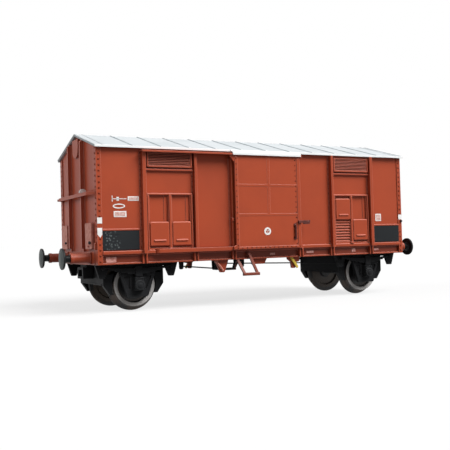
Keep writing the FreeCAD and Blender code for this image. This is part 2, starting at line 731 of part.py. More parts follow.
def end_disc():
    """Half-round plate that stands on the end rail."""
    r = END_DISC_R
    x = -PANEL_X - END_RAIL_OUT - END_RAIL_T / 4
    z0 = WALL_Z + END_RAIL_Z + END_RAIL_H
    y = -BODY_W / 2 + END_DISC_IN
    disc = Part.makeCylinder(r, END_DISC_T, V(x, y, z0), V(0, 1, 0))
    return disc.common(box(x - 2 * r, x + 2 * r, y - r, y + r, z0, z0 + 2 * r))


# ------------------------------------------------------------------ frame
def sole_bar():
    """Near sole bar: a channel that opens outwards, with ribs under the stakes and the door posts."""
    web = -INNER_Y - SOLE_WEB_T
    yz = [
        (-INNER_Y, SOLE_Z), (-PANEL_Y, SOLE_Z), (-PANEL_Y, SOLE_Z + SOLE_T), (web, SOLE_Z + SOLE_T),
        (web, WALL_Z - SOLE_T), (-PANEL_Y, WALL_Z - SOLE_T), (-PANEL_Y, WALL_Z), (-INNER_Y, WALL_Z),
    ]
    solids = [prism_x(yz, -INNER_X, INNER_X)]
    rib_y = -PANEL_Y - LEDGE_OUT
    for x in (-OUTER_STAKE_X, -INNER_STAKE_X, DOOR_X0 + 0.1, DOOR_X1 + 0.9, INNER_STAKE_X, OUTER_STAKE_X):
        section = [
            (x - 0.63, -INNER_Y), (x - 0.63, rib_y, 0.1), (x - 0.25, rib_y, 0.1), (x - 0.25, -PANEL_Y),
            (x + 0.25, -PANEL_Y), (x + 0.25, rib_y, 0.1), (x + 0.63, rib_y, 0.1), (x + 0.63, -INNER_Y),
        ]
        solids.append(prism_z(section, SOLE_Z, WALL_Z))
    return fuse(solids)


def buffer_beam():
    """Left buffer beam with its face plate and the hole for the draw hook."""
    half = BODY_W / 2 - BEAM_FACE_MARGIN
    beam = box(-PANEL_X, -INNER_X, -PANEL_Y, PANEL_Y, SOLE_Z, WALL_Z)
    plate = prism_x(rectangle(-half, half, SOLE_Z, LEDGE_Z, 0.3), -PANEL_X - BEAM_FACE_T, -PANEL_X)
    hole = rod((-PANEL_X - 1, 0, BUFFER_Z), (-INNER_X + 1, 0, BUFFER_Z), HOOK_HOLE_R)
    return fuse([beam, plate]).cut(hole)


def buffer_sleeve(y):
    """Buffer casing: a square base with rounded corners and a collared sleeve."""
    x = -PANEL_X - BEAM_FACE_T
    tip = x - SLEEVE_L
    half = SLEEVE_R + 0.2
    base = prism_x(rectangle(y - half, y + half, BUFFER_Z - half, BUFFER_Z + half, 0.4), x - 0.3, x)
    profile = [
        (x, 0), (x, SLEEVE_R + 0.15), (x - 0.9, SLEEVE_R - 0.1), (tip + 0.7, SLEEVE_R - 0.1),
        (tip + 0.7, SLEEVE_R),
        (tip, SLEEVE_R, 0.15), (tip, 0),
    ]
    return fuse([base, lathe_x(profile, y, BUFFER_Z)])


def buffer_head(y):
    """Domed head with a flared neck and the shank that enters the sleeve."""
    sleeve_tip = -PANEL_X - BEAM_FACE_T - SLEEVE_L
    tip = -PANEL_X - BUFFER_L
    back = tip + HEAD_T
    profile = [
        (sleeve_tip, 0), (sleeve_tip, SHANK_R), (back + 0.5, SHANK_R), (back, SHANK_R + 0.5),
        (back, BUFFER_R - 0.1),
        (back - 0.15, BUFFER_R), (tip + 0.25, BUFFER_R), (tip + 0.1, BUFFER_R * 0.6), (tip, 0.8), (tip, 0),
    ]
    return lathe_x(profile, y, BUFFER_Z)


def floor():
    return box(-INNER_X, INNER_X, -INNER_Y, INNER_Y, FLOOR_Z, FLOOR_Z + FLOOR_T)


def weight():
    """Steel plate between the deck and the floor."""
    x, y = INNER_X - WEIGHT_MARGIN, INNER_Y - WEIGHT_MARGIN
    return box(-x, x, -y, y, DECK_Z + DECK_T, FLOOR_Z)


def underframe():
    """Deck moulded in one with its longitudinals, cross members, draw beam and edge fillets."""
    deck = box(-INNER_X, INNER_X, -INNER_Y, INNER_Y, DECK_Z, DECK_Z + DECK_T)
    long_beam = box(-INNER_X, INNER_X, -GUARD_FACE_Y, -GUARD_Y, SOLE_Z, DECK_Z)
    cross = []
    for centre in (-AXLE_X - BRAKE_OUT, -AXLE_X + BRAKE_OUT, AXLE_X - BRAKE_OUT, AXLE_X + BRAKE_OUT):
        x = centre + math.copysign(BRAKE_T / 2, centre + math.copysign(AXLE_X, -centre))
        cross.append(box(x - 0.6, x + 0.6, -GUARD_Y, GUARD_Y, SOLE_Z, DECK_Z))
    tie = [(-1.0, SOLE_Z), (1.0, SOLE_Z), (1.6, DECK_Z), (-1.6, DECK_Z)]
    cross.append(prism_y(tie, -GUARD_Y, GUARD_Y))
    half = POCKET_W / 2
    draw = prism_x([(-half, DECK_Z), (-half, SOLE_Z - POCKET_DROP), (half, SOLE_Z - POCKET_DROP),
        (half, DECK_Z)],
                   -INNER_X, -AXLE_X + BRAKE_OUT)
    edges = [box(-INNER_X, INNER_X, -INNER_Y, -INNER_Y + 0.6, WALL_Z - 0.35, FLOOR_Z)]
    return fuse([deck, long_beam, turned(long_beam), draw, turned(draw)] + cross + both(*edges))


def coupler_pocket():
    """Socket below the left draw beam for a plug-in coupler."""
    top = SOLE_Z - POCKET_DROP
    x0 = -PANEL_X + 0.1
    x1 = -AXLE_X - BRAKE_OUT - BRAKE_T - BRAKE_FLANGE - POCKET_GAP
    block = prism_x(rectangle(-POCKET_W / 2, POCKET_W / 2, top - POCKET_H, top, 0.2), x0, x1)
    mid = top - POCKET_H / 2
    mouth = box(x0 - 1, x1 - 0.4, -MOUTH_W / 2, MOUTH_W / 2, mid - MOUTH_H / 2, mid + MOUTH_H / 2)
    return block.cut(mouth)


def axle_guard(cx):
    """Near axle guard: a plate with a relieved face and a blind conical cup for the axle's point."""
    foot = AXLE_Z - GUARD_FOOT
    knee = AXLE_Z + 2.4
    half = GUARD_HALF
    xz = [
        (cx - half, SOLE_Z), (cx + half, SOLE_Z), (cx + half - 0.6, knee, 1.5),
        (cx + half - 2.3, foot, 0.5),
        (cx - half + 2.3, foot, 0.5), (cx - half + 0.6, knee, 1.5),
    ]
    plate = prism_y(xz, -GUARD_FACE_Y, -GUARD_Y)
    relief = 0.35
    for s in (-1, 1):
        xz = [(cx + s * 3.7, knee - 0.2, 0.3), (cx + s * 1.9, knee - 0.2, 0.2),
            (cx + s * 1.9, foot + 1.1, 0.2)]
        plate = plate.cut(prism_y(xz, -GUARD_FACE_Y - 1, -GUARD_FACE_Y + relief))
    mouth = point_radius(GUARD_Y) + BEARING_GAP
    floor_r = POINT_R + BEARING_GAP
    depth = POINT_IN + 0.1
    cup = Part.makeCone(mouth, floor_r, depth, V(cx, -GUARD_Y, AXLE_Z), V(0, -1, 0))
    return plate.cut(cup)


def axle_box(cx):
    """Tapered axle box with a round turned cover."""
    y = -GUARD_FACE_Y
    zc = AXLE_Z + 0.35
    ends = []
    for out, shrink in ((0, 0), (BOX_OUT, 0.25)):
        w, h = BOX_W / 2 - shrink, BOX_H / 2 - shrink
        corners = rectangle(cx - w, cx + w, zc - h, zc + h)
        ends.append(rounded_path([(V(c[0], y - out, c[1]), 0) for c in corners], True))
    block = Part.makeLoft(ends, True, True)
    front = y - BOX_OUT
    profile = [(front + 0.5, 0), (front + 0.5, COVER_R), (front - COVER_T + 0.15, COVER_R),
               (front - COVER_T, COVER_R - 0.2), (front - COVER_T, 0)]
    return fuse([block, lathe_y(profile, cx, AXLE_Z)])


def leaf(cx, half, drop):
    """One spring leaf: a strip between two arcs, with its ends raised by the camber."""
    y0 = -GUARD_FACE_Y - SPRING_W
    tip = AXLE_Z + SPRING_TOP - drop + SPRING_CAMBER * (half / SPRING_HALF) ** 2
    mid = AXLE_Z + SPRING_TOP - drop
    upper = Part.Arc(V(cx - half, y0, tip), V(cx, y0, mid), V(cx + half, y0, tip)).toShape()
    lower = moved(upper, z=-LEAF_T)
    sides = [
        Part.LineSegment(V(cx + s * half, y0, tip), V(cx + s * half, y0,
            tip - LEAF_T)).toShape() for s in (-1, 1)
    ]
    strip = Part.Face(Part.Wire(Part.__sortEdges__([upper, lower] + sides)))
    return strip.extrude(V(0, SPRING_W, 0))


def leaf_spring(cx):
    """Stack of leaves, clasped by the buckle that stands on the axle box, with an eye at each end."""
    step = (SPRING_HALF - 1.2) / LEAVES
    leaves = [leaf(cx, SPRING_HALF - k * step, k * LEAF_T) for k in range(LEAVES)]
    y1 = -GUARD_FACE_Y
    z0 = AXLE_Z + 0.35 + BOX_H / 2
    z1 = AXLE_Z + SPRING_TOP + 0.5
    half = BUCKLE_W / 2
    buckle = prism_z(rectangle(cx - half, cx + half, y1 - SPRING_W - 0.3, y1, 0.2), z0, z1)
    eye_z = AXLE_Z + SPRING_TOP + SPRING_CAMBER - LEAF_T
    eyes = [rod((cx + s * SPRING_HALF, y1 - SPRING_W - 0.1, eye_z), (cx + s * SPRING_HALF, y1, eye_z), 0.42)
            for s in (-1, 1)]
    return fuse(leaves + [buckle] + eyes)


def spring_hanger(cx, s):
    """Tapered bracket from the frame down to the eye of a spring; its root reaches back to the guard."""
    foot = AXLE_Z + HANGER_FOOT_Z
    root = SOLE_Z - HANGER_ROOT_H
    xz = [
        (cx + s * (GUARD_HALF + HANGER_GAP), SOLE_Z), (cx + s * (SPRING_HALF + 1.8), SOLE_Z),
        (cx + s * (SPRING_HALF + 0.75), foot, 0.3), (cx + s * (SPRING_HALF - 0.5), foot, 0.3),
        (cx + s * (SPRING_HALF - 1.6), root, 0.4), (cx + s * (GUARD_HALF + HANGER_GAP), root),
    ]
    y1 = -GUARD_FACE_Y
    return prism_y(xz, y1, y1 + HANGER_T)


def brake_pair(cx, s):
    """Brake beam across the wagon on one side of an axle, with its two shoes."""
    x0 = cx + s * BRAKE_OUT
    x1 = x0 + s * BRAKE_T
    x_low, x_high = min(x0, x1), max(x0, x1)
    half = WHEEL_Y - 0.4
    foot = AXLE_Z + 0.1
    yz = [(-half, foot, 0.3), (half, foot, 0.3), (half, SOLE_Z), (-half, SOLE_Z)]
    plate = prism_x(yz, x_low, x_high)
    flange = prism_x(rectangle(-half + 1.2, half - 1.2, foot, foot + 0.35),
        x_low - BRAKE_FLANGE, x_high + BRAKE_FLANGE)
    keyway = POCKET_W / 2
    notch = box(x_low - 1, x_high + 1, -keyway, keyway, SOLE_Z - POCKET_DROP, SOLE_Z + 1)
    y0 = -half
    inner = cx + s * SHOE_IN
    top, low = AXLE_Z + SHOE_UP, AXLE_Z - SHOE_DOWN
    xz = [(inner, top), (x1, top), (x1, foot), (x0 - s * SHOE_TAIL, low), (inner, low)]
    y1 = y0 + 2 * SHOE_W
    shoe = prism_y(xz, y0, y0 + SHOE_W).cut(rod((cx, y0 - 1, AXLE_Z), (cx, y1, AXLE_Z), TREAD_R + SHOE_GAP))
    flange_room = rod((cx, y0 + SHOE_W - 0.9, AXLE_Z), (cx, y1, AXLE_Z), TREAD_R + FLANGE_DEPTH + SHOE_GAP)
    shoe = shoe.cut(flange_room)
    return fuse([plate.cut(notch), flange, shoe, mirrored_y(shoe)])


def hanging_lug(x, y, foot):
    """Small tapered plate that hangs from the deck."""
    xz = [(x - 0.7, DECK_Z), (x + 0.7, DECK_Z), (x + 0.5, foot, 0.4), (x - 0.5, foot, 0.4)]
    return prism_y(xz, y - LUG_T / 2, y + LUG_T / 2)


def brake_rigging():
    """Cross shaft with its crank, link, pull rods and the lugs that carry them."""
    x = SHAFT_X
    z = AXLE_Z + SHAFT_UP
    y = -GUARD_Y + LUG_T / 2
    inner_y = y + 1.5
    shaft = rod((x, -INNER_Y + BRACKET_T, z), (x, inner_y, z), SHAFT_R)
    crank_top = z + CRANK_H
    crank = prism_y([(x - 0.5, z - 0.4, 0.3), (x + 0.5, z - 0.4, 0.3), (x + 0.4, crank_top, 0.3),
                     (x - 0.4, crank_top, 0.3)], y - 0.3, y + 0.3)
    lug_x = -AXLE_X + LUG_IN
    pull = rod((x, y, z), (lug_x, y, z + 1.0), ROD_R)
    push_x = AXLE_X - BRAKE_OUT - BRAKE_T
    push = rod((x, y, crank_top - 0.6), (push_x, y, z), ROD_R)
    link_y = -INNER_Y + LINK_IN
    knee = x + LINK_L
    link = bent_rod([(x, link_y, z - 0.2), (knee, link_y, z - 0.2), (knee + 0.8, link_y, SOLE_Z)], 0.28,
        0.6)
    lugs = [hanging_lug(lug_x, y, z + 0.2), hanging_lug(x + 7.4, y, z + 0.1),
        hanging_lug(x, inner_y, z - 0.4)]
    stay = prism_y([(knee + 0.3, SOLE_Z - 0.6), (knee + 1.5, SOLE_Z - 0.6), (knee + 1.5, DECK_Z),
        (knee + 0.3, DECK_Z)],
                   link_y - 0.3, link_y + 0.3)
    return fuse([shaft, crank, pull, push, link, stay] + lugs)


def shaft_bracket():
    """Hanger of the brake shaft behind the near sole bar, with one slanting side."""
    x = SHAFT_X - 0.3
    z0 = AXLE_Z + SHAFT_UP - 0.9
    half = 1.8
    xz = [
        (x - half, DECK_Z), (x + half, DECK_Z), (x + half, SOLE_Z - 0.5), (x + 0.8, z0, 0.4),
        (x - 0.4, z0, 0.4),
        (x - half, SOLE_Z),
    ]
    return prism_y(xz, -INNER_Y, -INNER_Y + BRACKET_T)


def door_step():
    """Stirrup below the left half of the door; its legs splay outwards and lean to the right."""
    foot_y = -PANEL_Y - STEP_OUT
    foot_z = SOLE_Z - STEP_DROP
    web = -INNER_Y - SOLE_WEB_T
    half = STEP_LEG_W / 2
    left_top = (DOOR_X0 + STEP_LEFT, -PANEL_Y + 0.3, SOLE_Z)
    right_top = (DOOR_X0 + STEP_RIGHT, -PANEL_Y - 0.3, SOLE_Z + 1.7)
    left_foot = (DOOR_X0 + STEP_FOOT_LEFT, foot_y, foot_z + TREAD_H / 2)
    right_foot = (DOOR_X0 + STEP_FOOT_RIGHT, foot_y, foot_z + TREAD_H / 2)
    legs = [bar(left_top, left_foot, STEP_LEG_W, STEP_LEG_T), bar(right_top, right_foot, STEP_LEG_W,
        STEP_LEG_T)]
    lug = box(right_top[0] - half, right_top[0] + half, right_top[1] - STEP_LEG_T / 2, web,
        right_top[2] - 0.3,
              right_top[2])
    tread = prism_x(rectangle(foot_y - 0.4, foot_y + 0.4, foot_z, foot_z + TREAD_H, 0.2),
        left_foot[0] - half - 0.1,
                    right_foot[0] + half + 0.1)
    return fuse(legs + [lug, tread])


def release_lever():
    """Yellow lever of the brake release, in front of its bracket."""
    x = DOOR_X1 - LEVER_IN
    tip_x = x + LEVER_W + LEVER_LEAN
    xz = [(x, SOLE_Z), (x + LEVER_W, SOLE_Z), (tip_x, SOLE_Z - LEVER_L + 0.6, 0.2),
        (tip_x - 0.3, SOLE_Z - LEVER_L, 0.2)]
    return prism_y(xz, -INNER_Y - 0.45, -INNER_Y)


def side_brackets():
    """Trapezoid plate beside the step and the bracket behind the release lever."""
    y1 = -INNER_Y + BRACKET_T
    x0 = DOOR_X0 + PLATE_IN
    x1 = x0 + PLATE_W
    z0 = SOLE_Z - PLATE_DROP
    plate = prism_y([(x0, DECK_Z), (x1, DECK_Z), (x1, SOLE_Z), (x1 - 0.8, z0, 0.6), (x0 + 0.9, z0, 0.3),
        (x0, SOLE_Z)],
                    -INNER_Y, y1)
    x0 = DOOR_X1 - CARRIER_IN
    x1 = x0 + CARRIER_W
    z0 = SOLE_Z - CARRIER_DROP
    step = z0 + CARRIER_DROP / 2
    carrier = prism_y(
        [(x0, DECK_Z), (x1, DECK_Z), (x1, step + 0.3, 0.3), (x1 - 1.2, step + 0.1, 0.2),
        (x1 - 1.4, z0, 0.3),
         (x0 + 1.2, z0, 0.3), (x0 + 1.0, step + 0.2, 0.2), (x0, SOLE_Z - 0.5, 0.3)], -INNER_Y, y1)
    return [plate, carrier]


# ------------------------------------------------------------------ wheelsets
def point_radius(y):
    """Radius of the axle at a distance y from the middle, along its pointed end."""
    along = max(0.0, y - (TIP_Y - POINT_L)) / POINT_L
    return AXLE_R + (POINT_R - AXLE_R) * along


def axle(cx):
    y0 = TIP_Y - POINT_L
    profile = [(-TIP_Y, 0), (-TIP_Y, POINT_R), (-y0, AXLE_R), (y0, AXLE_R), (TIP_Y, POINT_R), (TIP_Y, 0)]
    return lathe_y(profile, cx, AXLE_Z)


def wheel(cx, side):
    """Flanged wheel with a dished web; side -1 is the near one."""
    y0, y1 = BACK_TO_BACK / 2, WHEEL_Y
    flange_r = TREAD_R + FLANGE_DEPTH
    rim_r = TREAD_R - RIM_T
    profile = [
        (y0, AXLE_R), (y0, HUB_R), (y0 + 0.5, HUB_R + 0.2), (y0 + 0.5, rim_r - 0.3), (y0, rim_r),
        (y0, flange_r - 0.25),
        (y0 + 0.25, flange_r), (y0 + 0.4, flange_r), (y0 + 0.9, TREAD_R + 0.12), (y0 + 1.05, TREAD_R),
        (y1 - 0.2, TREAD_R), (y1, TREAD_R - 0.15), (y1, rim_r), (y1 - 1.1, rim_r - 0.25),
        (y1 - 1.1, HUB_R + 0.3),
        (y1 - 0.1, HUB_R), (y1 - 0.1, AXLE_R),
    ]
    return lathe_y([(side * y, r) for y, r in profile], cx, AXLE_Z)


# ------------------------------------------------------------------ pieces
def body_pieces():
    near = {-1: side_panel(-1), 1: side_panel(1)}
    shutters = [shutter(-BAY_X - SHUTTER_DX, False), shutter(-BAY_X + SHUTTER_DX, False),
                shutter(BAY_X - SHUTTER_DX, True), shutter(BAY_X + SHUTTER_DX, False)]
    leaf_solid = door_leaf()
    fittings = door_fittings()
    return {
        "roof": [roof()],
        "door_canopies": both(canopy()),
        "side_near_left": [near[-1]],
        "side_near_right": [near[1]],
        "side_far_right": [turned(near[-1])],
        "side_far_left": [turned(near[1])],
        "ventilators": both(ventilator(-BAY_X), ventilator(BAY_X)),
        "shutters": both(*shutters),
        "hatch_louvres": both(hatch_louvre()),
        "side_boards": both(board(-1), board(1)),
        "corner_posts": both(corner_post(-1), corner_post(1)),
        "door_rails": both(door_rail()),
        "door_guides": both(door_guide()),
        "door_near_leaf": [leaf_solid],
        "door_near_fittings": fittings,
        "door_far_leaf": [turned(leaf_solid)],
        "door_far_fittings": [turned(piece) for piece in fittings],
        "end_wall_left": [end_wall()],
        "end_wall_right": [turned(end_wall())],
        "end_rails": both(end_rail()),
        "gable_plates": both(gable_plate()),
        "end_plates": both(*end_plates()),
        "end_discs": both(end_disc()),
    }


def frame_pieces():
    axles = (-AXLE_X, AXLE_X)
    near_buffers = (-BUFFER_Y, BUFFER_Y)
    return {
        "sole_bar_near": [sole_bar()],
        "sole_bar_far": [turned(sole_bar())],
        "buffer_beam_left": [buffer_beam()],
        "buffer_beam_right": [turned(buffer_beam())],
        "buffer_sleeves": both(*[buffer_sleeve(y) for y in near_buffers]),
        "buffer_heads": both(*[buffer_head(y) for y in near_buffers]),
        "floor": [floor()],
        "ballast_weight": [weight()],
        "underframe": [underframe()],
        "coupler_pockets": both(coupler_pocket()),
        "axle_guards": both(*[axle_guard(x) for x in axles]),
        "axle_boxes": both(*[axle_box(x) for x in axles]),
        "leaf_springs": both(*[leaf_spring(x) for x in axles]),
        "spring_hangers": both(*[spring_hanger(x, s) for x in axles for s in (-1, 1)]),
        "brake_shoes": [brake_pair(x, s) for x in axles for s in (-1, 1)],
        "brake_rigging": [brake_rigging()],
        "shaft_brackets": [shaft_bracket()],
        "door_steps": both(door_step()),
        "release_levers": both(release_lever()),
        "side_boxes": both(*side_brackets()),
    }


def wheel_pieces():
    nodes = {}
    for name, x in (("left", -AXLE_X), ("right", AXLE_X)):
        nodes["axle_" + name] = [axle(x)]
        nodes["wheel_" + name + "_near"] = [wheel(x, -1)]
        nodes["wheel_" + name + "_far"] = [wheel(x, 1)]
    return nodes


def main():
    os.makedirs("parts", exist_ok=True)
    nodes = {**body_pieces(), **frame_pieces(), **wheel_pieces()}
    total = 0.0
    for node, solids in sorted(nodes.items()):
        shape = solids[0] if len(solids) == 1 else Part.makeCompound(solids)
        shape.exportStep("parts/" + node + ".step")
        total += shape.Volume
        size = shape.BoundBox
        print("%-20s solids %2d volume %9.2f valid %s  x %.2f..%.2f y %.2f..%.2f z %.2f..%.2f" % (
            node, len(shape.Solids), shape.Volume, shape.isValid(),
            size.XMin, size.XMax, size.YMin, size.YMax, size.ZMin, size.ZMax))
    print("nodes", len(nodes), "volume", round(total, 1))


main()
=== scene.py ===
"""Finishes, fine details and studio for a 1:87 two-axle covered goods wagon.

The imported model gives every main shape.  This script dresses it: paint and metal finishes,
rivets, seams, plates and small fittings, and a plain studio to look at it in.  Sizes are written
in millimetres and turned into metres on the way into a mesh.  X runs along the wagon, Y across it
from the near side to the far side, and Z up.
"""

import logging
import math
from dataclasses import dataclass
from enum import Enum

import bmesh
import bpy
from mathutils import Matrix, Vector


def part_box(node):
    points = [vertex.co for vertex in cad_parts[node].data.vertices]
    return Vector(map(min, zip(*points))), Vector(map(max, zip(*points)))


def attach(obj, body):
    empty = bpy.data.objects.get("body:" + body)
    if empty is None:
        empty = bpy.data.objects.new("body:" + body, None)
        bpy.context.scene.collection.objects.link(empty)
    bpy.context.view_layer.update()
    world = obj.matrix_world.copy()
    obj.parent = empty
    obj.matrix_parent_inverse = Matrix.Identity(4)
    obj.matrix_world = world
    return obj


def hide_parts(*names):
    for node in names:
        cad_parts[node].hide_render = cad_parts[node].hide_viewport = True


LOG = logging.getLogger("wagon")
MM = 0.001
SOFT = 1.0  # finer sizes in noise whose patches stay round and soft
CLOUDY = 3.0  # finer sizes in noise that looks like clouds
Colour = tuple[float, float, float]
Point2 = tuple[float, float]
Box2 = tuple[float, float, float, float]
Socket = bpy.types.NodeSocket
Value = float | Socket

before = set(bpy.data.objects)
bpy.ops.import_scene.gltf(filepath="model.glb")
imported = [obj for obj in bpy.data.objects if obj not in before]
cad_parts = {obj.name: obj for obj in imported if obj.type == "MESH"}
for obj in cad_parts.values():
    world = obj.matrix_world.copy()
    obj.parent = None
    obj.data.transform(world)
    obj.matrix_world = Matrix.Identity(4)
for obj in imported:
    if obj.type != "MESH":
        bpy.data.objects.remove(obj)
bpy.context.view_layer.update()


# ---------------------------------------------------------------- places on the wagon
class Face(Enum):
    """The four upright faces of the wagon, each seen from outside.

    The value is (right, out): the directions, in (x, y), of a viewer's right hand and of the
    outside.
    """

    NEAR = ((1, 0), (0, -1))
    FAR = ((-1, 0), (0, 1))
    LEFT = ((0, -1), (-1, 0))
    RIGHT = ((0, 1), (1, 0))

    def at(self, across: float, up: float, out: float) -> Vector:
        """Return a point of the face, in metres.

        Args:
            across: distance to the viewer's right, mm.
            up: height above the foot of the wheels, mm.
            out: distance outwards from the middle plane, mm.

        Returns:
            The point, in metres.
        """
        right, ahead = self.value
        x = right[0] * across + ahead[0] * out
        y = right[1] * across + ahead[1] * out
        return Vector((x, y, up)) * MM

    @property
    def normal(self) -> Vector:
        """Direction of the outside."""
        return Vector((*self.value[1], 0.0))


SIDES = (Face.NEAR, Face.FAR)
ENDS = (Face.LEFT, Face.RIGHT)
HANDS = (-1, 1)


def span(node: str) -> tuple[Vector, Vector]:
    """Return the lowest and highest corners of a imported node, in mm."""
    low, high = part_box(node)
    return Vector(low) / MM, Vector(high) / MM


# ---------------------------------------------------------------- node helpers
def rgba(colour: Colour) -> tuple[float, float, float, float]:
    """Return a colour with full alpha."""
    return (*colour[:3], 1.0)


class Graph:
    """A node tree being written, with short calls for adding and linking nodes."""

    def __init__(self, tree: bpy.types.NodeTree) -> None:
        """Start from an empty tree.

        Args:
            tree: the node tree to write into.
        """
        self.tree = tree
        tree.nodes.clear()

    def add(self, kind: str, values: dict[str | int, object] | None = None,
            **settings: object) -> bpy.types.Node:
        """Add one node.

        Args:
            kind: the node's bl_idname.
            values: input socket name or index -> constant or output socket.
            **settings: plain properties of the node.

        Returns:
            The new node.
        """
        node = self.tree.nodes.new(kind)
        for key, value in settings.items():
            setattr(node, key, value)
        for key, value in (values or {}).items():
            if isinstance(value, bpy.types.NodeSocket):
                self.tree.links.new(value, node.inputs[key])
            else:
                node.inputs[key].default_value = value
        return node

    def math(self, operation: str, a: Value, b: Value = 0.0) -> Socket:
        """Add a Math node.

        Args:
            operation: the Math node's operation.
            a: first value.
            b: second value.

        Returns:
            The result.
        """
        return self.add("ShaderNodeMath", {0: a, 1: b}, operation=operation).outputs[0]

    def product(self, *shares: Value) -> Socket:
        """Multiply values, from first to last.

        Args:
            *shares: two values or more.

        Returns:
            Their product.
        """
        total = shares[0]
        for share in shares[1:]:
            total = self.math("MULTIPLY", total, share)
        return total

    def distance(self, a: Socket, b: Socket) -> Socket:
        """Return the length of the slanting side over two square ones."""
        square = self.math("ADD", self.product(a, a), self.product(b, b))
        return self.math("SQRT", square)

    def axes(self, vector: Socket) -> bpy.types.NodeOutputs:
        """Return the X, Y and Z of a vector as outputs."""
        return self.add("ShaderNodeSeparateXYZ", {0: vector}).outputs

    def ramp(self, value: Socket, cut: Point2, to: Point2 = (0.0, 1.0)) -> Socket:
        """Map a value in a straight line from one span to another, and hold it at the ends.

        Args:
            value: what is mapped.
            cut: the two values between which the result changes.
            to: the results there.

        Returns:
            The mapped value.
        """
        node = self.add("ShaderNodeMapRange", {"Value": value, "From Min": cut[0],
                                               "From Max": cut[1], "To Min": to[0],
                                               "To Max": to[1]})
        return node.outputs[0]

    def ramp_mm(self, value: Socket, cut: Point2) -> Socket:
        """Map a length to 0..1 between two lengths that are given in mm."""
        return self.ramp(value, (cut[0] * MM, cut[1] * MM))

    def noise(self, place: Socket, size: float, detail: float = 2.0, rough: float = 0.5) -> Socket:
        """Make cloud noise.

        Args:
            place: position on the wagon.
            size: size of its features, mm.
            detail: how many finer sizes are added.
            rough: how strong those are.

        Returns:
            The noise, about 0.5 on the whole.
        """
        node = self.add("ShaderNodeTexNoise", {"Vector": place, "Scale": 1 / (size * MM),
                                               "Detail": detail, "Roughness": rough})
        return node.outputs["Fac"]

    def mix(self, factor: Value, a: Colour | Socket, b: Colour | Socket) -> Socket:
        """Mix two colours.

        Args:
            factor: share of the second colour.
            a: first colour.
            b: second colour.

        Returns:
            The mixed colour.
        """
        a, b = (rgba(c) if isinstance(c, tuple) else c for c in (a, b))
        node = self.add("ShaderNodeMix", {"Factor": factor, "A": a, "B": b}, data_type="RGBA")
        return node.outputs["Result"]


# ---------------------------------------------------------------- layers over a finish
@dataclass(frozen=True)
class Spot:
    """What the layers of a finish read at a point.

    Attributes:
        place: position on the wagon.
        normal: direction of the surface, with its edges rounded.
        base: the finish's main colour, linear.
    """

    place: Socket
    normal: Socket
    base: Colour


class Layer:
    """A tone laid over a finish."""

    def over(self, g: Graph, spot: Spot, colour: Socket) -> Socket:
        """Lay the tone over a colour.

        Args:
            g: the tree being written.
            spot: what the layer reads.
            colour: the colour below.

        Returns:
            The colour with the tone over it.
        """
        raise NotImplementedError


@dataclass(frozen=True)
class CornerDirtAndShade(Layer):
    """Dirt and painted shade in corners and hollows, darker where little of the surroundings is
    open.

    Attributes:
        share: how much of it there is.
        reach: how far it reaches out of a corner, mm.
        cut: openness at which the wash starts and is full.
        left: what it leaves of the paint's red, green and blue.
        rays: how many directions are tried.
    """

    share: float
    reach: float = 0.7
    cut: Point2 = (0.78, 0.35)
    left: Colour = (0.26, 0.18, 0.18)
    rays: int = 8

    def over(self, g: Graph, spot: Spot, colour: Socket) -> Socket:
        """Darken a colour in corners with dirt and painted shade.

        Args:
            g: the tree being written.
            spot: what the layer reads.
            colour: the colour below.

        Returns:
            The colour with the dirt and painted shade over it.
        """
        node = g.add("ShaderNodeAmbientOcclusion", {"Distance": self.reach * MM}, samples=self.rays)
        dark = tuple(left * tone for left, tone in zip(self.left, spot.base))
        return g.mix(g.product(g.ramp(node.outputs["AO"], self.cut), self.share), colour, dark)


@dataclass(frozen=True)
class EdgeWearAndHighlight(Layer):
    """Paler tone on rounded edges: a painted highlight, with some wear.

    Attributes:
        share: how much of it there is.
        colour: the tone, linear.
        cut: cosine of the turn from the flat surface at which it starts and is full.
    """

    share: float
    colour: Colour = (0.62, 0.22, 0.16)
    cut: Point2 = (0.995, 0.90)

    def over(self, g: Graph, spot: Spot, colour: Socket) -> Socket:
        """Lighten a colour on edges with a painted highlight and wear.

        Args:
            g: the tree being written.
            spot: what the layer reads.
            colour: the colour below.

        Returns:
            The colour with the paler tone over it.
        """
        flat = g.add("ShaderNodeNewGeometry").outputs["Normal"]
        turned = g.add("ShaderNodeVectorMath", {0: spot.normal, 1: flat}, operation="DOT_PRODUCT")
        return g.mix(g.product(g.ramp(turned.outputs["Value"], self.cut), self.share), colour,
                     self.colour)


@dataclass(frozen=True)
class DustAndTopLight(Layer):
    """Pale dust and a painted highlight on faces and edges that look up.

    Attributes:
        share: how much of it there is.
        colour: its colour, linear.
        cut: upward part of the normal at which it starts and is full.
        speck: size of its specks, mm.
        speck_cut: noise at which a speck starts and is full.
        thin: share of the dust that lies between the specks.
    """

    share: float
    colour: Colour = (0.55, 0.20, 0.15)
    cut: Point2 = (0.12, 0.7)
    speck: float = 1.1
    speck_cut: Point2 = (0.25, 0.7)
    thin: float = 0.6

    def over(self, g: Graph, spot: Spot, colour: Socket) -> Socket:
        """Lighten a colour from above with dust and a painted highlight.

        Args:
            g: the tree being written.
            spot: what the layer reads.
            colour: the colour below.

        Returns:
            The colour with the dust and painted highlight over it.
        """
        share = g.product(g.ramp(g.axes(spot.normal)["Z"], self.cut), self.share)
        speck = g.ramp(g.noise(spot.place, self.speck, CLOUDY), self.speck_cut, (self.thin, 1.0))
        return g.mix(g.product(share, speck), colour, self.colour)


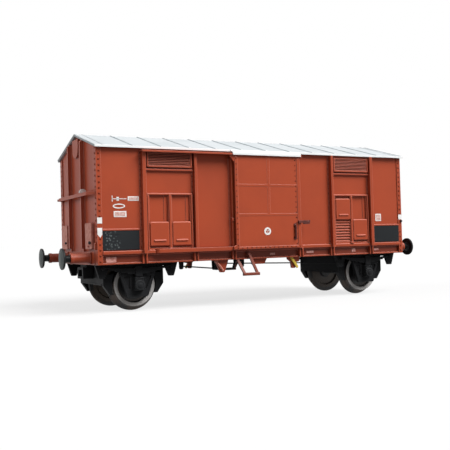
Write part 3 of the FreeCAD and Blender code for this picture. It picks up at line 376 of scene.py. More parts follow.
@dataclass(frozen=True)
class LowGrimeAndShade(Layer):
    """Dark grime and painted shade low on the wagon, darker towards the bottom.

    Attributes:
        share: how much of it there is.
        heights: heights at which it starts and is full, mm.
        cloud: size of its clouds, mm.
        cloud_rough: how strong the finer sizes in a cloud are.
        cloud_cut: noise at which a cloud starts and is full.
        thin: share of the darkening that lies between the clouds.
        left: what it leaves of the paint's colour.
    """

    share: float
    heights: Point2 = (16.5, 11.5)
    cloud: float = 2.6
    cloud_rough: float = 0.6
    cloud_cut: Point2 = (0.35, 0.65)
    thin: float = 0.35
    left: float = 0.3

    def over(self, g: Graph, spot: Spot, colour: Socket) -> Socket:
        """Darken a colour from below with grime and painted shade.

        Args:
            g: the tree being written.
            spot: what the layer reads.
            colour: the colour below.

        Returns:
            The colour with the grime and painted shade over it.
        """
        low = g.product(g.ramp_mm(g.axes(spot.place)["Z"], self.heights), self.share)
        noise = g.noise(spot.place, self.cloud, CLOUDY, self.cloud_rough)
        cloud = g.ramp(noise, self.cloud_cut, (self.thin, 1.0))
        return g.mix(g.product(low, cloud), colour, tuple(self.left * c for c in spot.base))


# ---------------------------------------------------------------- finishes
@dataclass(frozen=True)
class Paint:
    """Moulded or painted plastic with slow patches and a fine grain.

    Attributes:
        name: material name.
        colour: main colour, linear.
        shade: colour of the slow darker patches, linear.
        roughness: middle roughness.
        gloss: specular level.
        layers: what lies over the paint, from below upwards.
        patch: size of the patches, mm.
        patch_cut: noise at which a patch starts and is full.
        mottle: how many times finer the mottle between the patches is.
        mottle_cut: noise at which the mottle starts and is full.
        mottle_share: how strong it is.
        edge: radius to which the edges look rounded, mm.
        edge_rays: how many directions the rounding tries.
        grain: size of the surface grain, mm.
        grain_cut: noise at which the grain starts and is full.
        grain_rough: what the grain adds to the roughness at its two ends.
        grain_depth: bump strength of the grain.
        grain_rise: height of the grain, mm.
    """

    name: str
    colour: Colour
    shade: Colour
    roughness: float = 0.4
    gloss: float = 0.35
    layers: tuple[Layer, ...] = ()
    patch: float = 9.0
    patch_cut: Point2 = (0.36, 0.66)
    mottle: float = 14.0
    mottle_cut: Point2 = (0.3, 0.75)
    mottle_share: float = 0.35
    edge: float = 0.12
    edge_rays: int = 6
    grain: float = 0.16
    grain_cut: Point2 = (0.3, 0.7)
    grain_rough: Point2 = (-0.05, 0.07)
    grain_depth: float = 0.1
    grain_rise: float = 0.02

    def tone(self, g: Graph, place: Socket) -> Socket:
        """Return the colour below the layers.

        Args:
            g: the tree being written.
            place: position on the wagon.

        Returns:
            The colour.
        """
        patches = g.ramp(g.noise(place, self.patch, CLOUDY), self.patch_cut)
        fine = g.ramp(g.noise(place, self.patch / self.mottle), self.mottle_cut,
                      (0.0, self.mottle_share))
        return g.mix(g.math("MAXIMUM", patches, fine), self.colour, self.shade)

    def material(self) -> bpy.types.Material:
        """Return the material, made on first use.

        Returns:
            The material.
        """
        name = f"coat_{self.name}"
        done = bpy.data.materials.get(name)
        if done:
            return done
        mat = bpy.data.materials.new(name)
        mat.use_nodes = True
        g = Graph(mat.node_tree)
        place = g.add("ShaderNodeTexCoord").outputs["Object"]
        bevel = g.add("ShaderNodeBevel", {"Radius": self.edge * MM}, samples=self.edge_rays)
        normal = bevel.outputs["Normal"]
        colour = self.tone(g, place)
        for layer in self.layers:
            colour = layer.over(g, Spot(place, normal, self.colour), colour)
        grain = g.noise(place, self.grain)
        low, high = self.grain_rough
        rough = g.ramp(grain, self.grain_cut, (self.roughness + low, self.roughness + high))
        bump = g.add("ShaderNodeBump", {"Height": grain, "Strength": self.grain_depth,
                                        "Distance": self.grain_rise * MM, "Normal": normal})
        shader = g.add("ShaderNodeBsdfPrincipled", {"Base Color": colour, "Roughness": rough,
                                                    "Specular IOR Level": self.gloss,
                                                    "Normal": bump.outputs["Normal"]})
        self.metal(shader)
        g.add("ShaderNodeOutputMaterial", {"Surface": shader.outputs[0]})
        return mat

    def metal(self, shader: bpy.types.Node) -> None:
        """Leave the shader as a plastic one; metal finishes change it."""


@dataclass(frozen=True)
class ChannelCoat(Paint):
    """Red paint of a sole bar, with painted shade on the web inside its channel, broken into
    streaks.

    Attributes:
        mouth: distances from the middle line at which the painted shade starts and is full, mm.
        web_shade: colour of the painted shade on the web, linear.
        web_shade_share: how much of it there is.
        streak: length of its streaks, mm.
        streak_cut: noise at which a streak starts and is full.
        streak_thin: share of the painted shade between the streaks.
    """

    mouth: Point2 = (15.35, 15.05)
    web_shade: Colour = (0.060, 0.012, 0.008)
    web_shade_share: float = 0.62
    streak: float = 2.5
    streak_cut: Point2 = (0.3, 0.7)
    streak_thin: float = 0.8

    def tone(self, g: Graph, place: Socket) -> Socket:
        """Return red with painted shade inside the channel.

        Args:
            g: the tree being written.
            place: position on the wagon.

        Returns:
            The colour.
        """
        base = Paint.tone(self, g, place)
        inside = g.ramp_mm(g.math("ABSOLUTE", g.axes(place)["Y"]), self.mouth)
        streak = g.ramp(g.noise(place, self.streak), self.streak_cut, (self.streak_thin, 1.0))
        return g.mix(g.product(inside, streak, self.web_shade_share), base, self.web_shade)


@dataclass(frozen=True)
class RoofSheet(Paint):
    """Pale roof paint with dirt in thin lines beside the seams and a clean bright eave.

    Attributes:
        pitch: distance between seams, mm.
        ends: distances from the middle between which the dirt fades out, mm.
        eave: distances from the middle line between which the clean edge fades out, mm.
        line: distances from a seam at which the dirt starts and is full, mm.
        lined: colour of that dirt, linear.
        lined_share: how much of it there is.
        streak: length of its streaks, mm.
        streak_cut: noise at which a streak starts and is full.
        streak_thin: share of the dirt between the streaks.
        clean: colour of the clean edge, linear.
    """

    pitch: float = 7.27
    ends: Point2 = (41.0, 40.0)
    eave: Point2 = (16.4, 16.2)
    line: Point2 = (0.40, 0.165)
    lined: Colour = (0.20, 0.25, 0.27)
    lined_share: float = 0.75
    streak: float = 3.0
    streak_cut: Point2 = (0.3, 0.7)
    streak_thin: float = 0.5
    clean: Colour = (0.84, 0.85, 0.85)

    def tone(self, g: Graph, place: Socket) -> Socket:
        """Return roof grey, darker at the seams and white at the eaves.

        Args:
            g: the tree being written.
            place: position on the wagon.

        Returns:
            The colour.
        """
        base = Paint.tone(self, g, place)
        axes = g.axes(place)
        cell = g.math("PINGPONG", axes["X"], self.pitch * MM / 2)
        inner = g.ramp_mm(g.math("ABSOLUTE", axes["X"]), self.ends)
        seam = g.product(g.ramp_mm(cell, self.line), inner)
        body = g.ramp_mm(g.math("ABSOLUTE", axes["Y"]), self.eave)
        noise = g.noise(place, self.streak, CLOUDY)
        streak = g.ramp(noise, self.streak_cut, (self.streak_thin, 1.0))
        share = g.product(g.product(seam, body), g.product(streak, self.lined_share))
        return g.mix(g.math("SUBTRACT", 1.0, body), g.mix(share, base, self.lined), self.clean)


@dataclass(frozen=True)
class BoardCoat(Paint):
    """Charcoal notice board, rubbed and speckled towards its left end.

    Attributes:
        inner: distances from the middle at which the specks start and are full, mm.
        outer: distances from the middle at which they end and are still full, mm.
        fleck: colour of the specks, linear.
        cell: distance between specks, mm.
        cell_cut: distance from a speck's middle, as the texture has it, at which it starts and
            is full.
        cloud: size of the speckled clouds, mm.
        cloud_cut: noise at which a cloud starts and is full.
    """

    inner: Point2 = (39.5, 40.3)
    outer: Point2 = (43.7, 43.3)
    fleck: Colour = (0.10, 0.115, 0.115)
    cell: float = 0.62
    cell_cut: Point2 = (0.42, 0.25)
    cloud: float = 0.7
    cloud_cut: Point2 = (0.36, 0.5)

    def tone(self, g: Graph, place: Socket) -> Socket:
        """Return charcoal with specks on the worn share of each left board.

        Args:
            g: the tree being written.
            place: position on the wagon.

        Returns:
            The colour.
        """
        base = Paint.tone(self, g, place)
        axes = g.axes(place)
        left_board = g.math("GREATER_THAN", g.product(axes["X"], axes["Y"]), 0.0)
        depth = g.math("ABSOLUTE", axes["X"])
        inside = g.product(g.ramp_mm(depth, self.inner), g.ramp_mm(depth, self.outer))
        cells = g.add("ShaderNodeTexVoronoi", {"Vector": place, "Scale": 1 / (self.cell * MM)},
                      feature="F1")
        specks = g.ramp(cells.outputs["Distance"], self.cell_cut)
        cloud = g.ramp(g.noise(place, self.cloud), self.cloud_cut)
        return g.mix(g.product(inside, specks, cloud, left_board), base, self.fleck)


@dataclass(frozen=True)
class TurnedWheel(Paint):
    """Turned metal tyre round a dark centre, with fine lathe rings.

    Each pair of sizes says where a tone starts and where it is full; radii are measured from the
    axle, and depths from the middle line of the wagon.

    Attributes:
        axle: signed x of the wheelset's axle, mm.
        height: height of the axle, mm.
        rim: radii of the bright tyre's inner edge, mm.
        rim_depth: depths past which the tyre is bright, mm.
        hub: radii of the dark hub, mm.
        groove: distance between lathe rings, mm.
        groove_share: how strong they are.
        groove_left: what a ring leaves of the inner face's colour.
        ring_in: radii of the inner edge of the centre's faint ring, mm.
        ring_out: radii of its outer edge, mm.
        ring_share: how strong it is.
        outside: depths between which the inner face's tone gives way to the outer centre's, mm.
        tread: radii of the tread, mm.
        tread_depth: depths of the tread's outer edge, mm.
        worn: size of the worn patches on the tread, mm.
        worn_cut: noise at which such a patch starts and is full.
        inner: colour of the inner face, linear.
        centre: colour of the outer centre, linear.
        rolled: colour of the worn patches on the tread, linear.
    """

    axle: float = 0.0
    height: float = 6.3
    rim: Point2 = (4.22, 4.35)
    rim_depth: Point2 = (8.6, 8.8)
    hub: Point2 = (2.2, 2.05)
    groove: float = 0.11
    groove_share: float = 0.35
    groove_left: float = 0.6
    ring_in: Point2 = (3.6, 3.75)
    ring_out: Point2 = (4.1, 3.9)
    ring_share: float = 0.5
    outside: Point2 = (8.2, 8.5)
    tread: Point2 = (5.10, 5.20)
    tread_depth: Point2 = (9.97, 9.9)
    worn: float = 3.5
    worn_cut: Point2 = (0.45, 0.6)
    inner: Colour = (0.105, 0.080, 0.062)
    centre: Colour = (0.009, 0.009, 0.010)
    rolled: Colour = (0.085, 0.062, 0.050)

    def tone(self, g: Graph, place: Socket) -> Socket:
        """Return the tyre's grey, the inner face's brown and the dark centre.

        Args:
            g: the tree being written.
            place: position on the wagon.

        Returns:
            The colour.
        """
        base = Paint.tone(self, g, place)
        shift = (-self.axle * MM, 0, -self.height * MM)
        moved = g.add("ShaderNodeMapping", {"Vector": place, "Location": shift}).outputs[0]
        axes = g.axes(moved)
        radius = g.distance(axes["X"], axes["Z"])
        depth = g.math("ABSOLUTE", axes["Y"])
        grooves = g.ramp(g.math("PINGPONG", radius, self.groove * MM), (0.0, self.groove * MM),
                         (0.0, self.groove_share))
        turned = g.mix(grooves, self.inner, tuple(self.groove_left * c for c in self.inner))
        inner = g.mix(g.ramp_mm(radius, self.hub), turned, self.centre)
        ring = g.product(g.ramp_mm(radius, self.ring_in), g.ramp_mm(radius, self.ring_out))
        outer = g.mix(g.product(ring, self.ring_share), self.centre, self.rolled)
        middle = g.mix(g.ramp_mm(depth, self.outside), inner, outer)
        patch = g.ramp(g.noise(moved, self.worn, SOFT), self.worn_cut)
        rolled = g.mix(patch, self.centre, self.rolled)
        tyre = g.product(g.ramp_mm(radius, self.tread), g.ramp_mm(depth, self.tread_depth))
        face = g.product(g.ramp_mm(radius, self.rim), g.ramp_mm(depth, self.rim_depth))
        return g.mix(tyre, g.mix(face, middle, base), rolled)


@dataclass(frozen=True)
class BufferCoat(Paint):
    """Dull green-grey buffer face inside a nearly black edge.

    Attributes:
        across: distance of a buffer's axis from the middle, mm.
        height: height of the axis, mm.
        rub: radii at which the grease in the middle starts and is full, mm.
        rub_patch: size of its patches, mm.
        rub_cut: noise at which a patch starts and is full.
        rub_share: how much of it there is.
        grease: its colour, linear.
        rim: radii at which the black edge starts and is full, mm.
        rim_colour: colour of that edge, linear.
        outward: outward part of the normal at which the face's grey starts and is full.
        back: colour of the head's back and of its stem, linear.
    """

    across: float = 10.05
    height: float = 13.1
    rub: Point2 = (1.5, 0.3)
    rub_patch: float = 1.2
    rub_cut: Point2 = (0.35, 0.6)
    rub_share: float = 0.5
    grease: Colour = (0.035, 0.040, 0.040)
    rim: Point2 = (2.15, 2.27)
    rim_colour: Colour = (0.014, 0.015, 0.016)
    outward: Point2 = (0.05, 0.3)
    back: Colour = (0.006, 0.0065, 0.007)

    def tone(self, g: Graph, place: Socket) -> Socket:
        """Return the face's grey with grease and a black edge.

        Args:
            g: the tree being written.
            place: position on the wagon.

        Returns:
            The colour.
        """
        base = Paint.tone(self, g, place)
        axes = g.axes(place)
        y = g.math("SUBTRACT", g.math("ABSOLUTE", axes["Y"]), self.across * MM)
        z = g.math("SUBTRACT", axes["Z"], self.height * MM)
        radius = g.distance(y, z)
        patch = g.ramp(g.noise(place, self.rub_patch), self.rub_cut)
        rub = g.product(g.ramp_mm(radius, self.rub), patch)
        face = g.mix(g.product(rub, self.rub_share), base, self.grease)
        side = g.axes(g.add("ShaderNodeNewGeometry").outputs["Normal"])["X"]
        outward = g.ramp(g.product(side, g.math("SIGN", axes["X"])), self.outward)
        face = g.mix(outward, self.back, face)
        return g.mix(g.ramp_mm(radius, self.rim), face, self.rim_colour)


@dataclass(frozen=True)
class Metal(Paint):
    """Bare rolled steel.

    Attributes:
        metallic: how metallic it is.
    """

    metallic: float = 0.85

    def metal(self, shader: bpy.types.Node) -> None:
        """Turn the shader into a metal."""
        shader.inputs["Metallic"].default_value = self.metallic


RED: Colour = (0.378, 0.060, 0.021)
RED_SHADE: Colour = (0.340, 0.054, 0.020)
WHEEL_GREY: Colour = (0.52, 0.50, 0.49)
WHEEL_SHADE: Colour = (0.43, 0.41, 0.395)


class Finish(Enum):
    """Every finish on the wagon, with the record's slot it belongs to."""

    # The layers below lay dirt, dust and grime, and also painted shade in corners and low down and
    # a painted highlight on edges and tops.
    BODY = (Paint("body_red", RED, RED_SHADE, 0.42, 0.22,
                  (CornerDirtAndShade(0.75), EdgeWearAndHighlight(0.7), DustAndTopLight(0.6), LowGrimeAndShade(0.45)), edge=0.17), "body_red")
    SOLE = (ChannelCoat("sole_red", RED, RED_SHADE, 0.42, 0.22,
                        (CornerDirtAndShade(0.8), EdgeWearAndHighlight(0.7), DustAndTopLight(0.6), LowGrimeAndShade(0.3)), edge=0.17), "body_red")
    # Rivet and stud heads are painted darker than the red round them: painted shade for their unlit
    # sides and shadows.
    RIVET_SHADED = (Paint("rivet_red_shaded", (0.23, 0.036, 0.014), (0.18, 0.028, 0.011), 0.45, 0.15,
                   edge=0.02), "body_red")
    STUD_SHADED = (Paint("stud_red_shaded", (0.12, 0.020, 0.009), (0.095, 0.016, 0.008), 0.45, 0.15,
                  edge=0.02), "body_red")
    PAD = (Paint("pad_red", (0.60, 0.27, 0.21), (0.46, 0.15, 0.11), 0.5, 0.13,
                 (CornerDirtAndShade(0.5), EdgeWearAndHighlight(0.4)), patch=0.9), "body_red")
    FITTING = (Paint("fitting_red", (0.10, 0.018, 0.011), (0.065, 0.013, 0.009), 0.4, 0.3,
                     (EdgeWearAndHighlight(0.2, (0.5, 0.16, 0.11)),), patch=0.8, edge=0.06), "body_red")
    STEP = (Paint("step_red", (0.19, 0.042, 0.024), (0.14, 0.030, 0.018), 0.45, 0.2,
                  (CornerDirtAndShade(0.7), EdgeWearAndHighlight(0.5, (0.45, 0.17, 0.13)), DustAndTopLight(0.4, (0.32, 0.15, 0.12))),
                  edge=0.08), "body_red")
    ROOF = (RoofSheet("roof_grey", (0.490, 0.515, 0.530), (0.44, 0.47, 0.485), 0.6, 0.15),
            "roof_grey")
    FRAME = (Paint("frame_black", (0.0165, 0.0168, 0.0182), (0.0205, 0.021, 0.0225), 0.5, 0.04,
                   (CornerDirtAndShade(0.9, 1.2), EdgeWearAndHighlight(0.6, (0.12, 0.124, 0.13)),
                    DustAndTopLight(0.3, (0.06, 0.06, 0.06))), edge=0.07), "frame_black")
    BUFFER = (BufferCoat("buffer_dark", (0.060, 0.074, 0.072), (0.042, 0.052, 0.051),
                         0.45, 0.12), "buffer_dark")
    BOARD = (BoardCoat("board_black", (0.013, 0.0145, 0.016), (0.018, 0.020, 0.022), 0.6, 0.1),
             "board_black")
    WHITE = (Paint("mark_white", (0.84, 0.83, 0.81), (0.77, 0.75, 0.73), 0.5, patch=1.4),
             "mark_white")
    LABEL = (Paint("label_pink", (0.66, 0.36, 0.31), (0.42, 0.15, 0.12), 0.5, patch=0.45),
             "mark_white")
    FIELD = (Paint("field_pink", (0.72, 0.52, 0.48), (0.50, 0.26, 0.22), 0.5, patch=0.5),
             "mark_white")
    YELLOW = (Paint("lever_yellow", (0.70, 0.50, 0.07), (0.58, 0.40, 0.05), 0.45),
              "lever_yellow")
    STEEL = (Metal("weight_steel", (0.42, 0.42, 0.43), (0.36, 0.36, 0.37), 0.35),
             "weight_steel")
    WHEEL_LEFT = (TurnedWheel("wheel_steel_left", WHEEL_GREY, WHEEL_SHADE, axle=-34.5),
                  "wheel_steel")
    WHEEL_RIGHT = (TurnedWheel("wheel_steel_right", WHEEL_GREY, WHEEL_SHADE, axle=34.5),
                   "wheel_steel")

    @property
    def paint(self) -> bpy.types.Material:
        """The finish's material."""
        return self.value[0].material()

    @property
    def slot(self) -> str:
        """The record's slot."""
        return self.value[1]


FINISH_OF_NODE = {
    Finish.ROOF: ("roof", "door_canopies"),
    Finish.FRAME: ("underframe", "coupler_pockets", "axle_guards", "axle_boxes", "leaf_springs",
                   "spring_hangers", "brake_shoes", "brake_rigging"),
    Finish.BUFFER: ("buffer_heads",),
    Finish.BOARD: ("side_boards",),
    Finish.WHITE: ("end_discs",),
    Finish.PAD: ("end_plates",),
    Finish.SOLE: ("sole_bar_near", "sole_bar_far"),
    Finish.STEP: ("door_steps",),
    Finish.FITTING: ("door_near_fittings", "door_far_fittings"),
    Finish.YELLOW: ("release_levers",),
    Finish.STEEL: ("ballast_weight",),
    Finish.WHEEL_LEFT: ("axle_left", "wheel_left_near", "wheel_left_far"),
    Finish.WHEEL_RIGHT: ("axle_right", "wheel_right_near", "wheel_right_far"),
}


def dress_solids() -> None:
    """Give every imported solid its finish; the body's red is the usual one."""
    chosen = {node: finish for finish, nodes in FINISH_OF_NODE.items() for node in nodes}
    for name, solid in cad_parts.items():
        finish = chosen.get(name, Finish.BODY)
        solid.data.materials.clear()
        solid.data.materials.append(finish.paint)
        LOG.info("solid %s: %s", name, finish.name.lower())


# ---------------------------------------------------------------- mesh makers
def settle(name: str, mesh: bpy.types.Mesh, finish: Finish, body: str) -> bpy.types.Object:
    """Make a finished mesh a piece of the wagon.

    Args:
        name: the piece's name.
        mesh: its mesh, in place.
        finish: what it is finished in.
        body: the body it moves with.

    Returns:
        The new object.
    """
    piece = bpy.data.objects.new(name, mesh)
    bpy.context.scene.collection.objects.link(piece)
    if not mesh.materials:
        mesh.materials.append(finish.paint)
    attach(piece, body)
    LOG.info("piece %s on %s: %d faces", name, body, len(mesh.polygons))
    return piece


def circle(steps: int) -> list[Point2]:
    """Return the corners of a circle of radius 1."""
    return [(math.cos(math.tau * k / steps), math.sin(math.tau * k / steps)) for k in range(steps)]


@dataclass(frozen=True)
class Turned:
    """A small turned piece that stands on a face.

    Attributes:
        profile: (radius, height over the surface) from one end to the other, mm; a closed ring
            when neither end lies on the axis.
        steps: number of steps round.
    """

    profile: tuple[Point2, ...]
    steps: int = 14


class Former:
    """Collects small closed shapes into one mesh."""

    POINT = 1e-4  # radius of a tip until it is welded, mm
    WELD = 1e-6  # corners closer than this become one, m
    STEEP = 0.9  # upward part of a bar's direction past which it counts as upright
    SHARP = 35  # edges that turn by more than this stay sharp, degrees
    TINY = 1e-6  # stands for a length of zero where one divides by it, mm

    def __init__(self) -> None:
        """Start an empty mesh."""
        self.bm = bmesh.new()

    def plate(self, face: Face, outline: list[Point2], out: float, thick: float,
              bevel: float = 0.0) -> None:
        """Add a flat plate with bevelled outer edges.

        Args:
            face: the face of the wagon it lies on.
            outline: corners (across, up), mm.
            out: where its back lies, mm.
            thick: its thickness, mm.
            bevel: how far the outer edge is chamfered, mm.
        """
        middle = Vector((sum(p[0] for p in outline), sum(p[1] for p in outline))) / len(outline)
        rings = [(0.0, 0.0), (thick - bevel, 0.0)]
        if bevel:
            rings.append((thick, bevel))
        loops = []
        for rise, inset in rings:
            loop = []
            for corner in outline:
                arm = Vector(corner) - middle
                spot = middle + arm * max(0.0, 1 - inset / max(arm.length, self.TINY))
                loop.append(self.bm.verts.new(face.at(spot.x, spot.y, out + rise)))
            loops.append(loop)
        self.join(loops)

    def join(self, loops: list[list[bmesh.types.BMVert]], closed: bool = False) -> None:
        """Skin equal loops in order, and cap both ends unless the tube closes on itself.

        Args:
            loops: rings of vertices.
            closed: join the last ring to the first in place of caps.
        """
        made = []
        pairs = list(zip(loops, loops[1:]))
        if closed:
            pairs.append((loops[-1], loops[0]))
        for low, high in pairs:
            for k, corner in enumerate(low):
                after = (k + 1) % len(low)
                made.append(self.bm.faces.new((corner, low[after], high[after], high[k])))
        if not closed:
            made.append(self.bm.faces.new(loops[0][::-1]))
            made.append(self.bm.faces.new(loops[-1]))
        bmesh.ops.recalc_face_normals(self.bm, faces=made)

    def lathe(self, face: Face, across: float, up: float, out: float, piece: Turned) -> None:
        """Add a body turned about an axis that points out of a face.

        Args:
            face: the face it stands on.
            across: the axis, mm to the right.
            up: the axis, mm up.
            out: how far out the surface under it lies, mm.
            piece: its profile.
        """
        loops = []
        for radius, rise in piece.profile:
            reach = max(radius, self.POINT)
            loops.append([self.bm.verts.new(face.at(across + reach * x, up + reach * y, out + rise))
                          for x, y in circle(piece.steps)])
        self.join(loops, closed=piece.profile[0][0] > 0 and piece.profile[-1][0] > 0)
        corners = [corner for loop in loops for corner in loop]
        bmesh.ops.remove_doubles(self.bm, verts=corners, dist=self.WELD)

    def tube(self, path: list[Vector], radius: float, sides: int = 10) -> None:
        """Add a round bar along a path.

        Args:
            path: points in metres.
            radius: the bar's radius, mm.
            sides: number of sides.
        """
        loops = []
        last = len(path) - 1
        for k, point in enumerate(path):
            run = (path[min(k + 1, last)] - path[max(k - 1, 0)]).normalized()
            helper = Vector((0, 0, 1)) if abs(run.z) < self.STEEP else Vector((0, 1, 0))
            right = run.cross(helper).normalized()
            up = right.cross(run)
            loops.append([self.bm.verts.new(point + (right * x + up * y) * radius * MM)
                          for x, y in circle(sides)])
        self.join(loops)

    def done(self, name: str, finish: Finish, body: str = "wagon",
             smooth: bool = False) -> bpy.types.Object:
        """Turn the mesh into a piece.

        Args:
            name: the piece's name.
            finish: what it is finished in.
            body: the body it moves with.
            smooth: shade curved faces smooth.

        Returns:
            The new object.
        """
        mesh = bpy.data.meshes.new(name)
        self.bm.to_mesh(mesh)
        self.bm.free()
        if smooth:
            mesh.shade_smooth()
            mesh.set_sharp_from_angle(angle=math.radians(self.SHARP))
        return settle(name, mesh, finish, body)


def rectangle(left: float, right: float, low: float, high: float) -> list[Point2]:
    """Return the corners of an upright rectangle."""
    return [(left, low), (right, low), (right, high), (left, high)]


def rounded(left: float, right: float, low: float, high: float, radius: float,
            steps: int = 4) -> list[Point2]:
    """Return the corners of a rectangle with rounded corners.

    Args:
        left: left side.
        right: right side.
        low: foot.
        high: top.
        radius: corner radius.
        steps: steps in each corner.

    Returns:
        The outline, anticlockwise.
    """
    corners = [(right - radius, low + radius, -90), (right - radius, high - radius, 0),
               (left + radius, high - radius, 90), (left + radius, low + radius, 180)]
    outline = []
    for x, y, start in corners:
        for k in range(steps + 1):
            a = math.radians(start + 90 * k / steps)
            outline.append((x + radius * math.cos(a), y + radius * math.sin(a)))
    return outline


# ---------------------------------------------------------------- repeats
def open_group(name: str, inputs: dict[str, str], made: str) -> tuple[Graph, dict[str, Socket]]:
    """Start a Geometry Nodes tree with named inputs.

    Args:
        name: the tree's name.
        inputs: name of each input -> its kind.
        made: name of the geometry that comes out.

    Returns:
        The tree being written, and each input by its name.
    """
    group = bpy.data.node_groups.new(name, "GeometryNodeTree")
    for label, kind in inputs.items():
        group.interface.new_socket(label, in_out="INPUT", socket_type=f"NodeSocket{kind}")
    group.interface.new_socket(made, in_out="OUTPUT", socket_type="NodeSocketGeometry")
    g = Graph(group)
    given = g.add("NodeGroupInput").outputs
    return g, {label: given[label] for label in inputs}


def close_group(g: Graph, copies: dict[str, Socket], finish: Finish) -> bpy.types.NodeTree:
    """Make the copies of a tree real, paint them and end the tree.

    Args:
        g: the tree being written.
        copies: where the copies go and what they are, as the instancing node's inputs.
        finish: what they are finished in.

    Returns:
        The ended tree.
    """
    placed = g.add("GeometryNodeInstanceOnPoints", copies)
    real = g.add("GeometryNodeRealizeInstances", {0: placed.outputs[0]})
    painted = g.add("GeometryNodeSetMaterial", {"Geometry": real.outputs[0],
                                                "Material": finish.paint})
    g.add("NodeGroupOutput", {0: painted.outputs[0]})
    return g.tree


def grown(mesh: bpy.types.Mesh, group: bpy.types.NodeTree,
          values: dict[str, float]) -> bpy.types.Mesh:
    """Run a Geometry Nodes tree on a mesh and return what it makes as a plain mesh.

    Args:
        mesh: what the tree works on.
        group: the tree.
        values: name of an input -> its value.

    Returns:
        The made mesh.
    """
    ids = {item.name: item.identifier for item in group.interface.items_tree
           if item.in_out == "INPUT"}
    carrier = bpy.data.objects.new(mesh.name, mesh)
    bpy.context.scene.collection.objects.link(carrier)
    modifier = carrier.modifiers.new("grow", "NODES")
    modifier.node_group = group
    for name, value in values.items():
        modifier[ids[name]] = value
    ready = carrier.evaluated_get(bpy.context.evaluated_depsgraph_get())
    made = bpy.data.meshes.new_from_object(ready)
    carrier.modifiers.remove(modifier)
    bpy.data.objects.remove(carrier)
    return made


@dataclass(frozen=True)
class Run:
    """A straight run on a face along which like small pieces are set.

    Attributes:
        face: the face of the wagon.
        start: (across, up) of the first piece, mm.
        end: (across, up) of the last piece, mm.
        out: how far out the surface lies, mm.
    """

    face: Face
    start: Point2
    end: Point2
    out: float


class Head(Enum):
    """Shape of the small piece that a run repeats."""

    DOME = "dome"
    HEX = "hex"


@dataclass(frozen=True)
class Repeater:
    """Geometry Nodes tree that repeats a rivet or a bolt along straight runs.

    Attributes:
        radius: radius of one piece, mm.
        lift: its height above the surface, mm.
        pitch: distance between pieces, mm.
        finish: what the pieces are finished in.
        head: the repeated shape.
        segments: steps round a dome.
        rings: steps over a ball, half of which is the dome.
        nut_sides: sides of a nut.
        nut_top: width of a nut's top as a share of its foot.
    """

    radius: float
    lift: float
    pitch: float
    finish: Finish = Finish.BODY
    head: Head = Head.DOME
    segments: int = 8
    rings: int = 4
    nut_sides: int = 6
    nut_top: float = 0.82

    def shape(self, g: Graph, inputs: dict[str, Socket]) -> Socket:
        """Add the nodes that make one piece, standing on its Z axis.

        Args:
            g: the tree being written.
            inputs: the tree's named inputs.

        Returns:
            The geometry of one piece.
        """
        size = g.add("ShaderNodeCombineXYZ", {"X": inputs["Radius"], "Y": inputs["Radius"],
                                              "Z": inputs["Lift"]})
        if self.head is Head.DOME:
            raw = g.add("GeometryNodeMeshUVSphere", {"Segments": self.segments,
                                                     "Rings": self.rings, "Radius": 1.0})
        else:
            raw = g.add("GeometryNodeMeshCone", {"Vertices": self.nut_sides,
                                                 "Radius Top": self.nut_top,
                                                 "Radius Bottom": 1.0, "Depth": 1.0})
        scaled = g.add("GeometryNodeTransform", {"Geometry": raw.outputs["Mesh"],
                                                 "Scale": size.outputs[0]})
        smooth = g.add("GeometryNodeSetShadeSmooth", {"Geometry": scaled.outputs[0],
                                                      "Shade Smooth": self.head is Head.DOME})
        return smooth.outputs[0]

    def tree(self) -> bpy.types.NodeTree:
        """Build the tree.

        Returns:
            The tree.
        """
        g, inputs = open_group(f"{self.head.value}_runs", {"Runs": "Geometry", "Radius": "Float",
                                                           "Lift": "Float", "Pitch": "Float"},
                               "Pieces")
        curve = g.add("GeometryNodeMeshToCurve", {"Mesh": inputs["Runs"]})
        spots = g.add("GeometryNodeResampleCurve", {"Curve": curve.outputs[0],
                                                    "Length": inputs["Pitch"]}, mode="LENGTH")
        out = g.add("GeometryNodeInputNamedAttribute", {"Name": "out"}, data_type="FLOAT_VECTOR")
        along = g.add("GeometryNodeInputTangent")
        turn = g.add("FunctionNodeAxesToRotation", {"Primary Axis": out.outputs["Attribute"],
                                                    "Secondary Axis": along.outputs[0]},
                     primary_axis="Z", secondary_axis="X")
        copies = {"Points": spots.outputs[0], "Instance": self.shape(g, inputs),
                  "Rotation": turn.outputs[0]}
        return close_group(g, copies, self.finish)

    def make(self, name: str, runs: list[Run], body: str = "wagon") -> bpy.types.Object:
        """Set pieces along every run and keep them as one mesh.

        Args:
            name: the piece's name.
            runs: where the pieces go.
            body: the body they move with.

        Returns:
            The new object.
        """
        lines = bpy.data.meshes.new(f"{name}_lines")
        points, edges, normals = [], [], []
        for run in runs:
            edges.append((len(points), len(points) + 1))
            points += [run.face.at(*run.start, run.out), run.face.at(*run.end, run.out)]
            normals += [run.face.normal] * 2
        lines.from_pydata(points, edges, [])
        store = lines.attributes.new("out", "FLOAT_VECTOR", "POINT")
        store.data.foreach_set("vector", [c for n in normals for c in n])
        sizes = {"Radius": self.radius * MM, "Lift": self.lift * MM, "Pitch": self.pitch * MM}
        return settle(name, grown(lines, self.tree(), sizes), self.finish, body)


